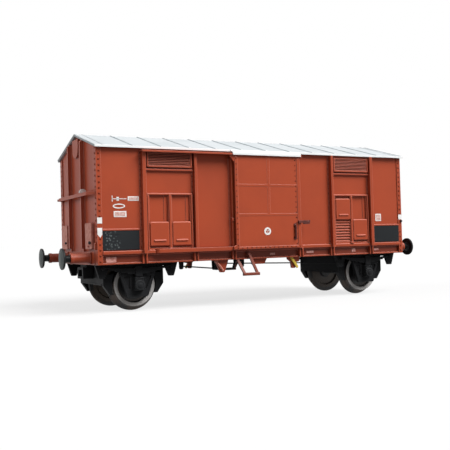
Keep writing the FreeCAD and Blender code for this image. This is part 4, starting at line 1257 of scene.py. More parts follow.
# ---------------------------------------------------------------- riveted posts and stakes
@dataclass(frozen=True)
class BodyRivets:
    """Rivets of the corner angles and of the side stakes.

    Attributes:
        post_rivet: the rivet of the corner angles.
        stake_rivet: the rivet of the stakes.
        side_leg: distance from the middle of the column on a corner angle's side leg, mm.
        end_leg: distance from the middle line of the column on its end leg, mm.
        low: height of the lowest rivet on a side leg, mm.
        end_low: height of the lowest rivet on an end leg, mm.
        high: height of the highest, mm.
        marks: span of height that the white marks cover, mm.
        stakes: distance of each stake from the middle and of its rivet columns from it, mm.
        stake_span: heights of a stake's lowest and highest rivet, mm.
        foot: how far out a stake's foot lies, mm.
    """

    post_rivet: Repeater = Repeater(0.29, 0.16, 1.27, Finish.RIVET_SHADED)
    stake_rivet: Repeater = Repeater(0.17, 0.11, 1.27, Finish.RIVET_SHADED)
    side_leg: float = 44.62
    end_leg: float = 14.95
    low: float = 12.3
    end_low: float = 15.3
    high: float = 38.6
    marks: Point2 = (17.55, 22.7)
    stakes: tuple[Point2, ...] = ((33.84, 0.68), (20.45, 0.57))
    stake_span: Point2 = (15.4, 37.6)
    foot: float = 15.65

    def columns(self) -> list[Run]:
        """Lay out the columns on the corner angles, left out behind the marks.

        Returns:
            The columns.
        """
        corner = span("corner_posts")[1]
        runs = []
        for hand in HANDS:
            side, end = hand * self.side_leg, hand * self.end_leg
            for low, high in ((self.low, self.marks[0]), (self.marks[1], self.high)):
                runs += [Run(face, (side, low), (side, high), corner.y) for face in SIDES]
            runs += [Run(face, (end, self.end_low), (end, self.high), corner.x) for face in ENDS]
        return runs

    def stake_columns(self) -> list[Run]:
        """Lay out the columns on both feet of every side stake.

        Returns:
            The columns.
        """
        low, high = self.stake_span
        runs = []
        for face in SIDES:
            for hand in HANDS:
                for x, reach in self.stakes:
                    for across in (hand * x - reach, hand * x + reach):
                        runs.append(Run(face, (across, low), (across, high), self.foot))
        return runs

    def build(self) -> None:
        """Make the rivets."""
        self.post_rivet.make("post_rivets", self.columns())
        self.stake_rivet.make("stake_rivets", self.stake_columns())


# ---------------------------------------------------------------- doors
@dataclass(frozen=True)
class DoorRivets:
    """Rivets round one sliding door and along the laps of its sheet.

    Attributes:
        rivet: the rivet of the stiles and the foot.
        lap_rivet: the faint rivet of the laps.
        left: across of the column on the left stile, mm.
        right: across of the column beside the right stile, mm.
        foot: height of the row on the foot flange, mm.
        foot_end: across of that row's right end, mm.
        low: height of a column's lowest rivet, mm.
        top: height of the highest rivets, mm.
        face_out: how far out the pan's face lies, mm.
        strip_out: how far out the strips round it lie, mm.
        laps: heights of the rivet rows over the two laps, mm.
        lap_span: across of a row's two ends, mm.
        lap_out: how far out a lap lies, mm.
        seam: across of the seam's columns, mm.
        seam_spans: heights of the lowest and highest rivet of each seam column, mm.
    """

    rivet: Repeater = Repeater(0.18, 0.12, 1.3, Finish.STUD_SHADED)
    lap_rivet: Repeater = Repeater(0.075, 0.045, 0.9)
    left: float = -9.6
    right: float = 8.05
    foot: float = 14.4
    foot_end: float = 8.95
    low: float = 15.1
    top: float = 36.9
    face_out: float = 17.4
    strip_out: float = 17.48
    laps: Point2 = (22.98, 30.48)
    lap_span: Point2 = (-8.9, 7.55)
    lap_out: float = 17.44
    seam: float = -0.22
    seam_spans: tuple[Point2, ...] = ((23.5, 29.7), (31.0, 36.9))

    def build(self, face: Face, body: str) -> None:
        """Rivet one door.

        Args:
            face: the side it hangs on.
            body: the body it is.
        """
        rim = [Run(face, (self.left, self.low), (self.left, self.top), self.strip_out),
               Run(face, (self.right, self.low), (self.right, self.top), self.face_out),
               Run(face, (self.left, self.foot), (self.foot_end, self.foot), self.strip_out)]
        self.rivet.make(f"{body}_rivets", rim, body)
        start, end = self.lap_span
        laps = [Run(face, (start, z), (end, z), self.lap_out) for z in self.laps]
        laps += [Run(face, (self.seam, low), (self.seam, high), self.lap_out)
                 for low, high in self.seam_spans]
        self.lap_rivet.make(f"{body}_lap_rivets", laps, body)


@dataclass(frozen=True)
class RingMark:
    """Round white mark with three bars on one sliding door.

    Attributes:
        across: its middle, mm.
        up: its middle, mm.
        ring: inner and outer radius of its ring, mm.
        steps: steps round the ring.
        turns: directions of the bars, degrees.
        bar: distances from the middle of a bar's two ends, mm.
        half: half a bar's width, mm.
        face_out: how far out the door's face lies, mm.
        sunk: how far the back of the mark lies inside that face, mm.
        thick: thickness of the mark, mm.
    """

    across: float = -0.9
    up: float = 18.45
    ring: Point2 = (0.52, 1.0)
    steps: int = 32
    turns: tuple[int, ...] = (30, 150, 270)
    bar: Point2 = (0.1, 0.6)
    half: float = 0.09
    face_out: float = 17.4
    sunk: float = 0.02
    thick: float = 0.05

    def build(self, face: Face, body: str) -> None:
        """Paint the mark on one door.

        Args:
            face: the side it hangs on.
            body: the body it is.
        """
        mark = Former()
        inner, outer = self.ring
        back = self.face_out - self.sunk
        band = ((inner, 0.0), (outer, 0.0), (outer, self.thick), (inner, self.thick))
        mark.lathe(face, self.across, self.up, back, Turned(band, self.steps))
        start, end = self.bar
        for turn in self.turns:
            ahead = Vector((math.cos(math.radians(turn)), math.sin(math.radians(turn))))
            side = Vector((-ahead.y, ahead.x)) * self.half
            corners = [ahead * reach + side * hand
                       for reach, hand in ((start, -1), (end, -1), (end, 1), (start, 1))]
            outline = [(self.across + p.x, self.up + p.y) for p in corners]
            mark.plate(face, outline, back, self.thick)
        mark.done(f"{body}_ring_mark", Finish.WHITE, body)


@dataclass(frozen=True)
class DoorCatches:
    """Latch, handle, gusset and foot hook of one sliding door.

    Attributes:
        face_out: how far out the pan's face lies, mm.
        latch: height of the latch, mm.
        arm: corners of its arm as (across, height over the latch's), mm.
        arm_rise: how far the arm's back stands off the face, mm.
        arm_thick: thickness of the arm, mm.
        arm_bevel: chamfer of the arm, mm.
        pivot_at: (across, height over the latch's) of the pivot, mm.
        pivot: the pivot's disc.
        staple_at: (across, height over the latch's) of the staple, mm.
        staple: the staple's pin.
        grip_at: across of the handle, mm.
        grip: heights of the handle's two feet, mm.
        grip_rise: how far the handle's bar stands off the face, mm.
        grip_radius: radius of that bar, mm.
        grip_foot: the disc under each foot.
        gusset: corners of the gusset at the door's top left, mm.
        gusset_thick: its thickness, mm.
        hook: corners of the hook at the door's foot, mm.
        hook_thick: its thickness, mm.
        plate_back: how far inside the face the backs of both lie, mm.
        plate_bevel: their chamfer, mm.
    """

    face_out: float = 17.4
    latch: float = 20.7
    arm: tuple[Point2, ...] = ((8.5, -0.32), (9.7, -0.28), (10.1, -0.6), (11.9, -0.55),
                               (12.1, 0.42), (9.9, 0.42), (8.5, 0.34))
    arm_rise: float = 0.2
    arm_thick: float = 0.3
    arm_bevel: float = 0.08
    pivot_at: Point2 = (8.8, 0.0)
    pivot: Turned = Turned(((0, 0), (0.42, 0), (0.42, 0.45), (0.3, 0.55), (0, 0.55)), 16)
    staple_at: Point2 = (11.4, -0.05)
    staple: Turned = Turned(((0, -0.6), (0.3, -0.6), (0.3, 0.5), (0.2, 0.58), (0, 0.58)), 12)
    grip_at: float = 7.5
    grip: Point2 = (16.55, 19.95)
    grip_rise: float = 0.4
    grip_radius: float = 0.24
    grip_foot: Turned = Turned(((0, 0), (0.46, 0), (0.46, 0.14), (0, 0.14)))
    gusset: tuple[Point2, ...] = ((-11.2, 37.4), (-9.95, 35.8), (-9.95, 37.85), (-11.2, 37.85))
    gusset_thick: float = 0.5
    hook: tuple[Point2, ...] = ((-10.75, 14.05), (-9.95, 14.05), (-9.95, 15.25), (-10.75, 14.75))
    hook_thick: float = 0.58
    plate_back: float = 0.5
    plate_bevel: float = 0.05

    def catches(self, face: Face, body: str) -> None:
        """Make the dark latch and handle.

        Args:
            face: the side the door hangs on.
            body: the body it is.
        """
        out, z, x = self.face_out, self.latch, self.grip_at
        dark = Former()
        dark.plate(face, [(across, z + rise) for across, rise in self.arm], out + self.arm_rise,
                   self.arm_thick, self.arm_bevel)
        for (across, rise), piece in ((self.pivot_at, self.pivot), (self.staple_at, self.staple)):
            dark.lathe(face, across, z + rise, out, piece)
        low, high = self.grip
        bar = out + self.grip_rise
        dark.tube([face.at(x, low, out), face.at(x, low, bar), face.at(x, high, bar),
                   face.at(x, high, out)], self.grip_radius)
        for foot in self.grip:
            dark.lathe(face, x, foot, out, self.grip_foot)
        catch = dark.done(f"{body}_catches", Finish.FITTING, body, smooth=True)
        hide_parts(f"{body}_fittings")

    def gussets(self, face: Face, body: str) -> None:
        """Make the red gusset and hook.

        Args:
            face: the side the door hangs on.
            body: the body it is.
        """
        red = Former()
        back = self.face_out - self.plate_back
        red.plate(face, list(self.gusset), back, self.gusset_thick, self.plate_bevel)
        red.plate(face, list(self.hook), back, self.hook_thick, self.plate_bevel)
        red.done(f"{body}_gussets", Finish.BODY, body)

    def build(self, face: Face, body: str) -> None:
        """Make all the catches of one door.

        Args:
            face: the side it hangs on.
            body: the body it is.
        """
        self.catches(face, body)
        self.gussets(face, body)


# ---------------------------------------------------------------- marks and plates
@dataclass(frozen=True)
class Marks:
    """White squares and shields on the posts, blank panels and label plates.

    A box is (left, right, foot, top), in mm, seen from outside the side that it lies on.

    Attributes:
        post: inner and outer edge of a post's side leg, distances from the middle, mm.
        square: foot and top of the white squares, mm.
        shield: top, shoulder and point of the shields, mm.
        lean: how far a shield's point stands right of its middle, mm.
        sunk: how far a mark's back lies inside the surface, mm.
        thick: thickness of a mark, mm.
        sheet: how far out the side sheets lie, mm.
        panels: boxes of the blank panels, then of the length line, its tick and its block.
        fields: boxes of the paler fields on the panels.
        ring: (across, up) of the blank oval, mm.
        ring_half: half its width and height, mm.
        ring_line: width of its line at the side and at the top, mm.
        ring_steps: steps round it.
        web: how far out the sole bar's web lies, mm.
        plates: boxes of the label plates.
        plate_corner: radius of their corners, mm.
        plate_thick: their thickness, mm.
        plate_bevel: their chamfer, mm.
        board: how far out the boards lie, mm.
        clip: box of the clip on a left board.
        clip_thick: its thickness, mm.
    """

    post: Point2 = (44.1, 45.28)
    square: Point2 = (21.05, 22.45)
    shield: tuple[float, float, float] = (20.05, 18.55, 17.75)
    lean: float = 0.1
    sunk: float = 0.01
    thick: float = 0.03
    sheet: float = 15.5
    panels: tuple[Box2, ...] = ((35.85, 37.9, 20.7, 22.75), (-41.2, -38.1, 22.5, 23.9),
                                (-37.7, -34.95, 26.3, 27.35), (-41.5, -38.0, 26.68, 26.85),
                                (-41.58, -41.38, 26.1, 27.5), (-40.45, -39.85, 26.3, 27.2))
    fields: tuple[Box2, ...] = ((36.1, 37.65, 20.95, 22.5), (-40.95, -38.35, 22.72, 23.68),
                                (-37.45, -35.2, 26.5, 27.15))
    ring: Point2 = (-39.9, 25.06)
    ring_half: Point2 = (1.5, 0.58)
    ring_line: Point2 = (0.3, 0.25)
    ring_steps: int = 28
    web: float = 15.0
    plates: tuple[Box2, ...] = ((-43.2, -40.7, 11.95, 13.3), (27.5, 28.8, 12.3, 13.2),
                                (35.3, 37.0, 12.45, 13.1), (12.4, 14.7, 12.45, 13.0),
                                (1.0, 2.6, 12.3, 12.9))
    plate_corner: float = 0.12
    plate_thick: float = 0.12
    plate_bevel: float = 0.04
    board: float = 15.75
    clip: Box2 = (-43.6, -39.9, 18.52, 18.66)
    clip_thick: float = 0.05

    def post_marks(self) -> None:
        """Paint the squares on all four posts and the shields on the left ones."""
        out = span("corner_posts")[1].y - self.sunk
        near, far = self.post
        top, shoulder, tip = self.shield
        middle = -(near + far) / 2
        shield = [(-far, shoulder), (middle + self.lean, tip), (-near, shoulder), (-near, top),
                  (-far, top)]
        marks = Former()
        for face in SIDES:
            for left, right in ((-far, -near), (near, far)):
                marks.plate(face, rectangle(left, right, *self.square), out, self.thick)
            marks.plate(face, shield, out, self.thick)
        marks.done("post_marks", Finish.WHITE)

    def data_panels(self) -> None:
        """Paint the blank panels, the length line and the oval beside the boards."""
        out = self.sheet - self.sunk
        panels = Former()
        for face in SIDES:
            for box in self.panels:
                panels.plate(face, rectangle(*box), out, self.thick)
            self.oval(panels, face, out)
        panels.done("blank_panels", Finish.WHITE)
        fields = Former()
        for face in SIDES:
            for box in self.fields:
                fields.plate(face, rectangle(*box), out + self.thick / 2, self.thick)
        fields.done("panel_fields", Finish.FIELD)

    def oval(self, former: Former, face: Face, out: float) -> None:
        """Paint the blank oval's ring.

        Args:
            former: the mesh being made.
            face: the side it is on.
            out: where its back lies, mm.
        """
        across, up = self.ring
        outer = self.ring_half
        inner = (outer[0] - self.ring_line[0], outer[1] - self.ring_line[1])
        loops = []
        for (reach, rise), lift in ((inner, 0.0), (outer, 0.0), (outer, self.thick),
                                    (inner, self.thick)):
            loops.append([
                former.bm.verts.new(face.at(across + reach * x, up + rise * y, out + lift))
                for x, y in circle(self.ring_steps)
            ])
        former.join(loops, closed=True)

    def label_plates(self) -> None:
        """Fix blank label plates in the channel of the sole bar."""
        labels = Former()
        for face in SIDES:
            for box in self.plates:
                labels.plate(face, rounded(*box, self.plate_corner), self.web, self.plate_thick,
                             self.plate_bevel)
        labels.done("label_plates", Finish.LABEL)

    def board_clips(self) -> None:
        """Lay the raised edge of the notice clip on the left boards."""
        clips = Former()
        for face in SIDES:
            clips.plate(face, rectangle(*self.clip), self.board - self.sunk, self.clip_thick)
        clips.done("board_clips", Finish.BUFFER)

    def build(self) -> None:
        """Make all the marks."""
        self.post_marks()
        self.data_panels()
        self.label_plates()
        self.board_clips()


# ---------------------------------------------------------------- ends
@dataclass(frozen=True)
class Knob:
    """A turned knob on a short neck.

    Attributes:
        across: place to the viewer's right, mm.
        up: place, mm.
        radius: of the knob, mm.
        length: from foot to tip, mm.
        root: how far the neck reaches into what carries it, mm.
        form: shares of the radius and of the length from the neck's top to the tip's rim.
    """

    across: float
    up: float
    radius: float
    length: float
    root: float = 0.05
    form: tuple[Point2, ...] = ((0.5, 0.35), (1.0, 0.5), (1.0, 0.8), (0.6, 1.0))

    def add(self, former: Former, face: Face, out: float) -> None:
        """Add the knob to a mesh.

        Args:
            former: the mesh being made.
            face: the face it stands on.
            out: where its foot lies, mm.
        """
        body = [(self.radius * width, self.length * rise) for width, rise in self.form]
        neck = body[0][0]
        profile = ((0, -self.root), (neck, -self.root), *body, (0, self.length))
        former.lathe(face, self.across, self.up, out, Turned(profile))


@dataclass(frozen=True)
class EndFittings:
    """Knobs, lugs, stake webs and rail tips of the two ends, and the knobs on the door side.

    Attributes:
        pad: how far out the pads' faces lie, mm.
        post: how far out the posts' end legs lie, mm.
        dark_knobs: black knobs on the pads.
        red_knob: red knob on a pad.
        side_knob: black knob on a corner angle's side leg.
        lug: distance of the rounded lugs from the middle line, mm.
        lug_half: half their width, mm.
        lug_span: their foot and top, mm.
        lug_corner: radius of their corners, mm.
        lug_thick: their thickness, mm.
        lug_bevel: their chamfer, mm.
        bracket: (left, right, foot, top) of the bracket at a corner's foot, mm.
        bracket_corner: radius of its corners, mm.
        bracket_thick: its thickness, mm.
        bracket_bevel: its chamfer, mm.
        stake: distance of a stake from the middle line, mm.
        stake_half: half the width of a stake's front, mm.
        stake_foot: height of a web's foot, mm.
        web_out: how far out a stake's front lies, mm.
        web_in: how far out the web's back lies, mm.
        web_bevel: its chamfer, mm.
        ridge: height at which the roof's underside would meet in the middle, mm.
        slope: fall of the roof for each mm across.
        tip_at: (across, up) of the stop on the rail's far tip, mm.
        tip_out: how far out the rail's end lies, mm.
        tip: the stop.
        rivet: the rivet of the stakes' feet.
        rivet_off: distance of the rivet columns from a stake's middle, mm.
        rivet_span: heights of the lowest and highest rivet, mm.
        rivet_out: how far out a stake's foot lies, mm.
    """

    pad: float = 45.9
    post: float = 45.3
    dark_knobs: tuple[Knob, ...] = (Knob(12.3, 16.7, 0.42, 0.5), Knob(-8.8, 16.8, 0.35, 0.4))
    red_knob: Knob = Knob(10.8, 15.9, 0.28, 0.3)
    side_knob: Knob = Knob(44.95, 20.6, 0.34, 0.4)
    lug: float = 14.45
    lug_half: float = 0.45
    lug_span: Point2 = (26.9, 29.1)
    lug_corner: float = 0.3
    lug_thick: float = 0.12
    lug_bevel: float = 0.05
    bracket: Box2 = (14.0, 14.9, 15.0, 16.6)
    bracket_corner: float = 0.2
    bracket_thick: float = 0.35
    bracket_bevel: float = 0.1
    stake: float = 5.5
    stake_half: float = 0.45
    stake_foot: float = 15.4
    web_out: float = 46.1
    web_in: float = 45.6
    web_bevel: float = 0.06
    ridge: float = 42.9
    slope: float = 0.282
    tip_at: Point2 = (-13.3, 28.15)
    tip_out: float = 46.3
    tip: Turned = Turned(((0, 0), (0.26, 0), (0.34, 0.2), (0.26, 0.55), (0, 0.6)))
    rivet: Repeater = Repeater(0.09, 0.05, 1.05)
    rivet_off: float = 0.68
    rivet_span: Point2 = (15.6, 38.6)
    rivet_out: float = 45.25

    def web(self, former: Former, face: Face, across: float) -> None:
        """Deepen a stake by its outer web, whose top follows the roof.

        Args:
            former: the mesh being made.
            face: the end it stands on.
            across: middle of the stake, mm.
        """
        left, right = across - self.stake_half, across + self.stake_half
        high_left, high_right = (self.ridge - self.slope * abs(edge) for edge in (left, right))
        outline = [(left, self.stake_foot), (right, self.stake_foot), (right, high_right),
                   (left, high_left)]
        former.plate(face, outline, self.web_in, self.web_out - self.web_in, self.web_bevel)

    def lugs(self, former: Former, face: Face) -> None:
        """Add the rounded lugs and the corner bracket of one end.

        Args:
            former: the mesh being made.
            face: the end they stand on.
        """
        for hand in HANDS:
            left, right = hand * self.lug - self.lug_half, hand * self.lug + self.lug_half
            former.plate(face, rounded(left, right, *self.lug_span, self.lug_corner), self.post,
                         self.lug_thick, self.lug_bevel)
        former.plate(face, rounded(*self.bracket, self.bracket_corner), self.post,
                     self.bracket_thick, self.bracket_bevel)

    def rivets(self) -> None:
        """Rivet both feet of every end stake."""
        low, high = self.rivet_span
        runs = []
        for face in ENDS:
            for hand in HANDS:
                for step in (-self.rivet_off, self.rivet_off):
                    across = hand * self.stake + step
                    runs.append(Run(face, (across, low), (across, high), self.rivet_out))
        self.rivet.make("end_stake_rivets", runs)

    def build(self) -> None:
        """Make the fittings of both ends."""
        dark, red, pale = Former(), Former(), Former()
        for face in ENDS:
            for knob in self.dark_knobs:
                knob.add(dark, face, self.pad)
            self.red_knob.add(red, face, self.pad)
            self.lugs(red, face)
            for hand in HANDS:
                self.web(red, face, hand * self.stake)
            pale.lathe(face, *self.tip_at, self.tip_out, self.tip)
        for face in SIDES:
            self.side_knob.add(dark, face, span("corner_posts")[1].y)
        dark.done("end_knobs", Finish.FRAME, smooth=True)
        pale.done("end_rail_tips", Finish.LABEL, smooth=True)
        red.done("end_lugs", Finish.BODY, smooth=True)
        self.rivets()


# ---------------------------------------------------------------- roof
@dataclass(frozen=True)
class RoofDress:
    """Folded beads along the roof's standing seams and round beads along its verges.

    Attributes:
        pitch: distance between seams, mm.
        count: number of seams.
        bead: radius of a seam's bead, mm.
        bead_steps: steps round it.
        bead_drop: how far its axis lies under the roof's top, mm.
        verge: radius of a verge's bead, mm.
        verge_drop: how far its axis lies under the roof's top, mm.
        verge_in: how far its axis lies inside the roof's end, mm.
        eave_in: how far both beads stop short of the eave, mm.
        rise: height of the ridge over the eaves, mm.
    """

    pitch: float = 7.27
    count: int = 11
    bead: float = 0.10
    bead_steps: int = 8
    bead_drop: float = 0.03
    verge: float = 0.20
    verge_drop: float = 0.16
    verge_in: float = 0.05
    eave_in: float = 0.12
    rise: float = 4.65

    def line(self, x: float, drop: float) -> list[Vector]:
        """Return the line over the roof from eave to eave.

        Args:
            x: place along the wagon, mm.
            drop: how far the line lies under the roof's top, mm.

        Returns:
            The points at the near eave, the ridge and the far eave, in metres.
        """
        high = span("roof")[1]
        eave, ridge = high.y - self.eave_in, high.z - drop
        return [Vector((x, -eave, ridge - self.rise)) * MM, Vector((x, 0, ridge)) * MM,
                Vector((x, eave, ridge - self.rise)) * MM]

    def tree(self) -> bpy.types.NodeTree:
        """Build the tree that sweeps a bead along a line and repeats it along the roof.

        Returns:
            The tree.
        """
        g, given = open_group("roof_seams", {"Line": "Geometry", "Radius": "Float",
                                             "Pitch": "Float", "Count": "Int"}, "Beads")
        path = g.add("GeometryNodeMeshToCurve", {"Mesh": given["Line"]})
        ring = g.add("GeometryNodeCurvePrimitiveCircle", {"Resolution": self.bead_steps,
                                                          "Radius": given["Radius"]})
        bead = g.add("GeometryNodeCurveToMesh", {"Curve": path.outputs[0], "Fill Caps": True,
                                                 "Profile Curve": ring.outputs[0]})
        smooth = g.add("GeometryNodeSetShadeSmooth", {"Geometry": bead.outputs[0],
                                                      "Shade Smooth": True})
        back = g.product(g.math("SUBTRACT", given["Count"], 1.0), -0.5)
        first = g.add("ShaderNodeCombineXYZ", {"X": g.product(back, given["Pitch"])})
        step = g.add("ShaderNodeCombineXYZ", {"X": given["Pitch"]})
        spots = g.add("GeometryNodeMeshLine", {"Count": given["Count"],
                                               "Start Location": first.outputs[0],
                                               "Offset": step.outputs[0]})
        copies = {"Points": spots.outputs[0], "Instance": smooth.outputs[0]}
        return close_group(g, copies, Finish.ROOF)

    def seams(self) -> None:
        """Lay a bead on each seam, from eave to ridge and down again."""
        lines = bpy.data.meshes.new("roof_seam_line")
        lines.from_pydata(self.line(0.0, self.bead_drop), [(0, 1), (1, 2)], [])
        sizes = {"Radius": self.bead * MM, "Pitch": self.pitch * MM, "Count": self.count}
        settle("roof_beads", grown(lines, self.tree(), sizes), Finish.ROOF, "wagon")

    def verges(self) -> None:
        """Round off the four verges with beads."""
        edge = span("roof")[1].x
        beads = Former()
        for x in (-edge + self.verge_in, edge - self.verge_in):
            beads.tube(self.line(x, self.verge_drop), self.verge)
        beads.done("roof_verges", Finish.ROOF, smooth=True)

    def build(self) -> None:
        """Make the roof's beads."""
        self.seams()
        self.verges()


# ---------------------------------------------------------------- running gear
@dataclass(frozen=True)
class RunningGear:
    """Bolts on the axle guards, axle boxes and buffers, box covers and pull levers.

    Attributes:
        axle_x: distance of the axles from the middle, mm.
        axle_z: height of the axles, mm.
        guard: how far out the guards' faces lie, mm.
        guard_bolt: the bolt of the guards.
        guard_rows: heights of the guards' bolts, mm.
        guard_pair: distances from the axle of the two bolts of a pair, mm.
        box: how far out the axle boxes' faces lie, mm.
        box_bolt: the bolt of the covers.
        box_rows: heights of the covers' bolts over the axle, mm.
        box_half: half the distance between the two bolts of a row, mm.
        beam: how far out the buffer bases' faces lie, mm.
        base_bolt: the bolt of the buffer bases.
        base_half: half the distance between those bolts, mm.
        buffer: (across, up) of a buffer's axis, mm.
        cover: how far out the covers lie, mm.
        cap: the domed cap on a cover.
        pull: upper and lower end of the pull lever, as (across, up), mm.
        pull_rise: how far those ends' axes stand off the plate, mm.
        pull_radius: the lever's radius, mm.
        plate_out: how far out the plate behind it lies, mm.
        pin_at: place of the lever's pin from its upper end, as (across, up), mm.
        pin: the pin.
    """

    axle_x: float = 34.5
    axle_z: float = 6.3
    guard: float = 12.3
    guard_bolt: Repeater = Repeater(0.24, 0.16, 1.2, Finish.FRAME, Head.HEX)
    guard_rows: Point2 = (10.9, 9.5)
    guard_pair: Point2 = (3.1, 4.3)
    box: float = 13.6
    box_bolt: Repeater = Repeater(0.17, 0.14, 1.6, Finish.FRAME, Head.HEX)
    box_rows: Point2 = (-1.05, 1.75)
    box_half: float = 0.8
    beam: float = 45.7
    base_bolt: Repeater = Repeater(0.16, 0.14, 2.3, Finish.BODY, Head.HEX)
    base_half: float = 1.15
    buffer: Point2 = (10.05, 13.1)
    cover: float = 14.0
    cap: Turned = Turned(((0, -0.05), (0.62, -0.05), (0.62, 0.08), (0.4, 0.16), (0, 0.19)), 20)
    pull: tuple[Point2, Point2] = ((-14.7, 11.6), (-12.6, 8.85))
    pull_rise: Point2 = (0.15, 0.3)
    pull_radius: float = 0.34
    plate_out: float = 14.3
    pin_at: Point2 = (0.25, -0.35)
    pin: Turned = Turned(((0, 0), (0.5, 0), (0.5, 0.45), (0.3, 0.6), (0, 0.6)))

    def guard_bolts(self) -> None:
        """Bolt the guards to the frame."""
        near, far = self.guard_pair
        runs = []
        for face in SIDES:
            for x in (-self.axle_x, self.axle_x):
                for z in self.guard_rows:
                    runs.append(Run(face, (x - far, z), (x - near, z), self.guard))
                    runs.append(Run(face, (x + near, z), (x + far, z), self.guard))
        self.guard_bolt.make("guard_bolts", runs)

    def box_bolts(self) -> None:
        """Bolt the covers to the axle boxes."""
        half = self.box_half
        runs = []
        for face in SIDES:
            for x in (-self.axle_x, self.axle_x):
                for z in (self.axle_z + rise for rise in self.box_rows):
                    runs.append(Run(face, (x - half, z), (x + half, z), self.box))
        self.box_bolt.make("box_bolts", runs)

    def base_bolts(self) -> None:
        """Bolt the buffers to the beams."""
        across, up = self.buffer
        half = self.base_half
        runs = []
        for face in ENDS:
            for y in (-across, across):
                for z in (up - half, up + half):
                    runs.append(Run(face, (y - half, z), (y + half, z), self.beam))
        self.base_bolt.make("base_bolts", runs)

    def covers(self) -> None:
        """Set a domed cap with a ring on each axle-box cover."""
        caps = Former()
        for face in SIDES:
            for x in (-self.axle_x, self.axle_x):
                caps.lathe(face, x, self.axle_z, self.cover, self.cap)
        caps.done("cover_caps", Finish.FRAME, smooth=True)

    def levers(self) -> None:
        """Lay the brake's slanting pull lever on the plate beside each step."""
        top, foot = self.pull
        bars = Former()
        for face in SIDES:
            ends = [face.at(*end, self.plate_out + rise)
                    for end, rise in zip((top, foot), self.pull_rise)]
            bars.tube(ends, self.pull_radius)
            bars.lathe(face, top[0] + self.pin_at[0], top[1] + self.pin_at[1], self.plate_out,
                       self.pin)
        bars.done("pull_levers", Finish.PAD, smooth=True)

    def build(self) -> None:
        """Make the running gear's small parts."""
        self.guard_bolts()
        self.box_bolts()
        self.base_bolts()
        self.covers()
        self.levers()


# ---------------------------------------------------------------- studio
@dataclass(frozen=True)
class Lamp:
    """One far light.

    Attributes:
        name: the light's name.
        strength: its strength.
        azimuth: its direction to the right of the near side, degrees.
        height: its height over the horizon, degrees.
        spread: how wide it looks, degrees; it softens the shadows.
    """

    name: str
    strength: float
    azimuth: float
    height: float
    spread: float = 40.0

    @property
    def on_floor(self) -> float:
        """How bright the light makes a white floor."""
        return self.strength / math.pi * math.sin(math.radians(self.height))

    def hang(self) -> None:
        """Hang the light."""
        data = bpy.data.lights.new(self.name, "SUN")
        data.energy = self.strength
        data.angle = math.radians(self.spread)
        lamp = bpy.data.objects.new(self.name, data)
        turn, lift = math.radians(self.azimuth), math.radians(self.height)
        towards = Vector((math.sin(turn) * math.cos(lift), -math.cos(turn) * math.cos(lift),
                          math.sin(lift)))
        lamp.rotation_euler = (-towards).to_track_quat("-Z", "Y").to_euler()
        bpy.context.scene.collection.objects.link(lamp)


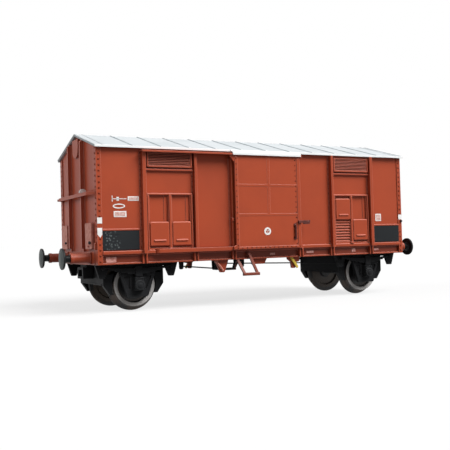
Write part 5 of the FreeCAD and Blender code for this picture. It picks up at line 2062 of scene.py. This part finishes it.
@dataclass(frozen=True)
class Studio:
    """Pale floor, white surroundings, soft lights and the camera.

    Attributes:
        eye: place of the camera, m.
        yaw: turn of the view to the right of straight ahead, degrees.
        pitch: tilt of the view upwards, degrees.
        roll: lean of the camera, degrees.
        lens: focal length, mm.
        sensor: width of the camera's sensor, mm.
        clip: distance from the camera at which it starts to see, m.
        reach: half size of the floor, m.
        ambient: strength of the surroundings as light.
        lamps: the key light and the fill light.
        floor_tone: the floor's own grey, under what it shows of the white surroundings.
        floor_vary: share by which that grey varies.
        floor_cloud: size of the patches in which it varies, mm.
        floor_lit: share of the light on the floor that its glow leaves room for.
        white: colour of the surroundings.
    """

    eye: tuple[float, float, float] = (-0.0939, -0.17124, 0.01635)
    yaw: float = 27.69
    pitch: float = 1.276
    roll: float = -1.591
    lens: float = 56.11
    sensor: float = 36.0
    clip: float = 0.005
    reach: float = 3.0
    ambient: float = 0.2
    lamps: tuple[Lamp, ...] = (Lamp("key", 4.8, 33.0, 50.0), Lamp("fill", 1.05, -102.0, 27.0))
    floor_tone: float = 0.17
    floor_vary: float = 0.02
    floor_cloud: float = 30.0
    floor_lit: float = 0.97
    white: Colour = (1.0, 1.0, 1.0)

    def camera(self) -> None:
        """Make the camera and make it the scene's."""
        yaw, pitch, roll = (math.radians(v) for v in (self.yaw, self.pitch, self.roll))
        ahead = Vector((math.sin(yaw) * math.cos(pitch), math.cos(yaw) * math.cos(pitch),
                        math.sin(pitch)))
        right = Vector((math.cos(yaw), -math.sin(yaw), 0))
        up = right.cross(ahead)
        side = right * math.cos(roll) + up * math.sin(roll)
        top = up * math.cos(roll) - right * math.sin(roll)
        data = bpy.data.cameras.new("camera")
        data.sensor_width = self.sensor
        data.lens = self.lens
        data.clip_start = self.clip
        eye = bpy.data.objects.new("camera", data)
        columns = Matrix((side, top, -ahead)).transposed()
        eye.matrix_world = Matrix.Translation(self.eye) @ columns.to_4x4()
        bpy.context.scene.collection.objects.link(eye)
        bpy.context.scene.camera = eye

    def surroundings(self) -> None:
        """Make a white world that lights the wagon less than it shows."""
        world = bpy.data.worlds.new("surroundings")
        bpy.context.scene.world = world
        world.use_nodes = True
        g = Graph(world.node_tree)
        dim, bright = (g.add("ShaderNodeBackground", {"Color": rgba(self.white), "Strength": v})
                       for v in (self.ambient, 1.0))
        both = g.add("ShaderNodeMixShader", {0: self.seen(g), 1: dim.outputs[0],
                                             2: bright.outputs[0]})
        g.add("ShaderNodeOutputWorld", {"Surface": both.outputs[0]})

    def seen(self, g: Graph) -> Socket:
        """Tell the rays that show the surroundings from those that gather light.

        Args:
            g: the tree being written.

        Returns:
            1 for the first kind, 0 for the second.
        """
        path = g.add("ShaderNodeLightPath").outputs
        seen = g.math("MAXIMUM", path["Is Camera Ray"], path["Is Glossy Ray"])
        return g.math("MAXIMUM", seen, path["Is Transmission Ray"])

    def floor(self) -> None:
        """Lay a pale floor under the wheels; it keeps the wagon's shadow."""
        mesh = bpy.data.meshes.new("floor")
        r = self.reach
        mesh.from_pydata([(-r, -r, 0), (r, -r, 0), (r, r, 0), (-r, r, 0)], [], [(0, 1, 2, 3)])
        mat = bpy.data.materials.new("floor")
        mat.use_nodes = True
        g = Graph(mat.node_tree)
        place = g.add("ShaderNodeTexCoord").outputs["Object"]
        tones = (self.floor_tone * (1 - self.floor_vary), self.floor_tone * (1 + self.floor_vary))
        tint = g.ramp(g.noise(place, self.floor_cloud), (0.0, 1.0), tones)
        matt = g.add("ShaderNodeBsdfDiffuse", {"Color": tint})
        lit = self.ambient + sum(lamp.on_floor for lamp in self.lamps)
        share = g.product(self.seen(g), 1.0 - self.floor_tone * lit * self.floor_lit)
        glow = g.add("ShaderNodeEmission", {"Color": rgba(self.white), "Strength": share})
        both = g.add("ShaderNodeAddShader", {0: matt.outputs[0], 1: glow.outputs[0]})
        g.add("ShaderNodeOutputMaterial", {"Surface": both.outputs[0]})
        mesh.materials.append(mat)
        plane = bpy.data.objects.new("floor", mesh)
        bpy.context.scene.collection.objects.link(plane)

    def build(self) -> None:
        """Make the whole studio."""
        bpy.context.scene.view_settings.view_transform = "Standard"
        self.camera()
        self.surroundings()
        self.floor()
        for lamp in self.lamps:
            lamp.hang()
        LOG.info("studio ready")


def main() -> None:
    """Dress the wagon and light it."""
    dress_solids()
    BodyRivets().build()
    for face, body in zip(SIDES, ("door_near", "door_far")):
        for part in (DoorRivets(), RingMark(), DoorCatches()):
            part.build(face, body)
    for part in (Marks(), EndFittings(), RoofDress(), RunningGear(), Studio()):
        part.build()


if __name__ == "__main__":
    logging.basicConfig(level=logging.INFO, format="%(name)s: %(message)s")
    main()
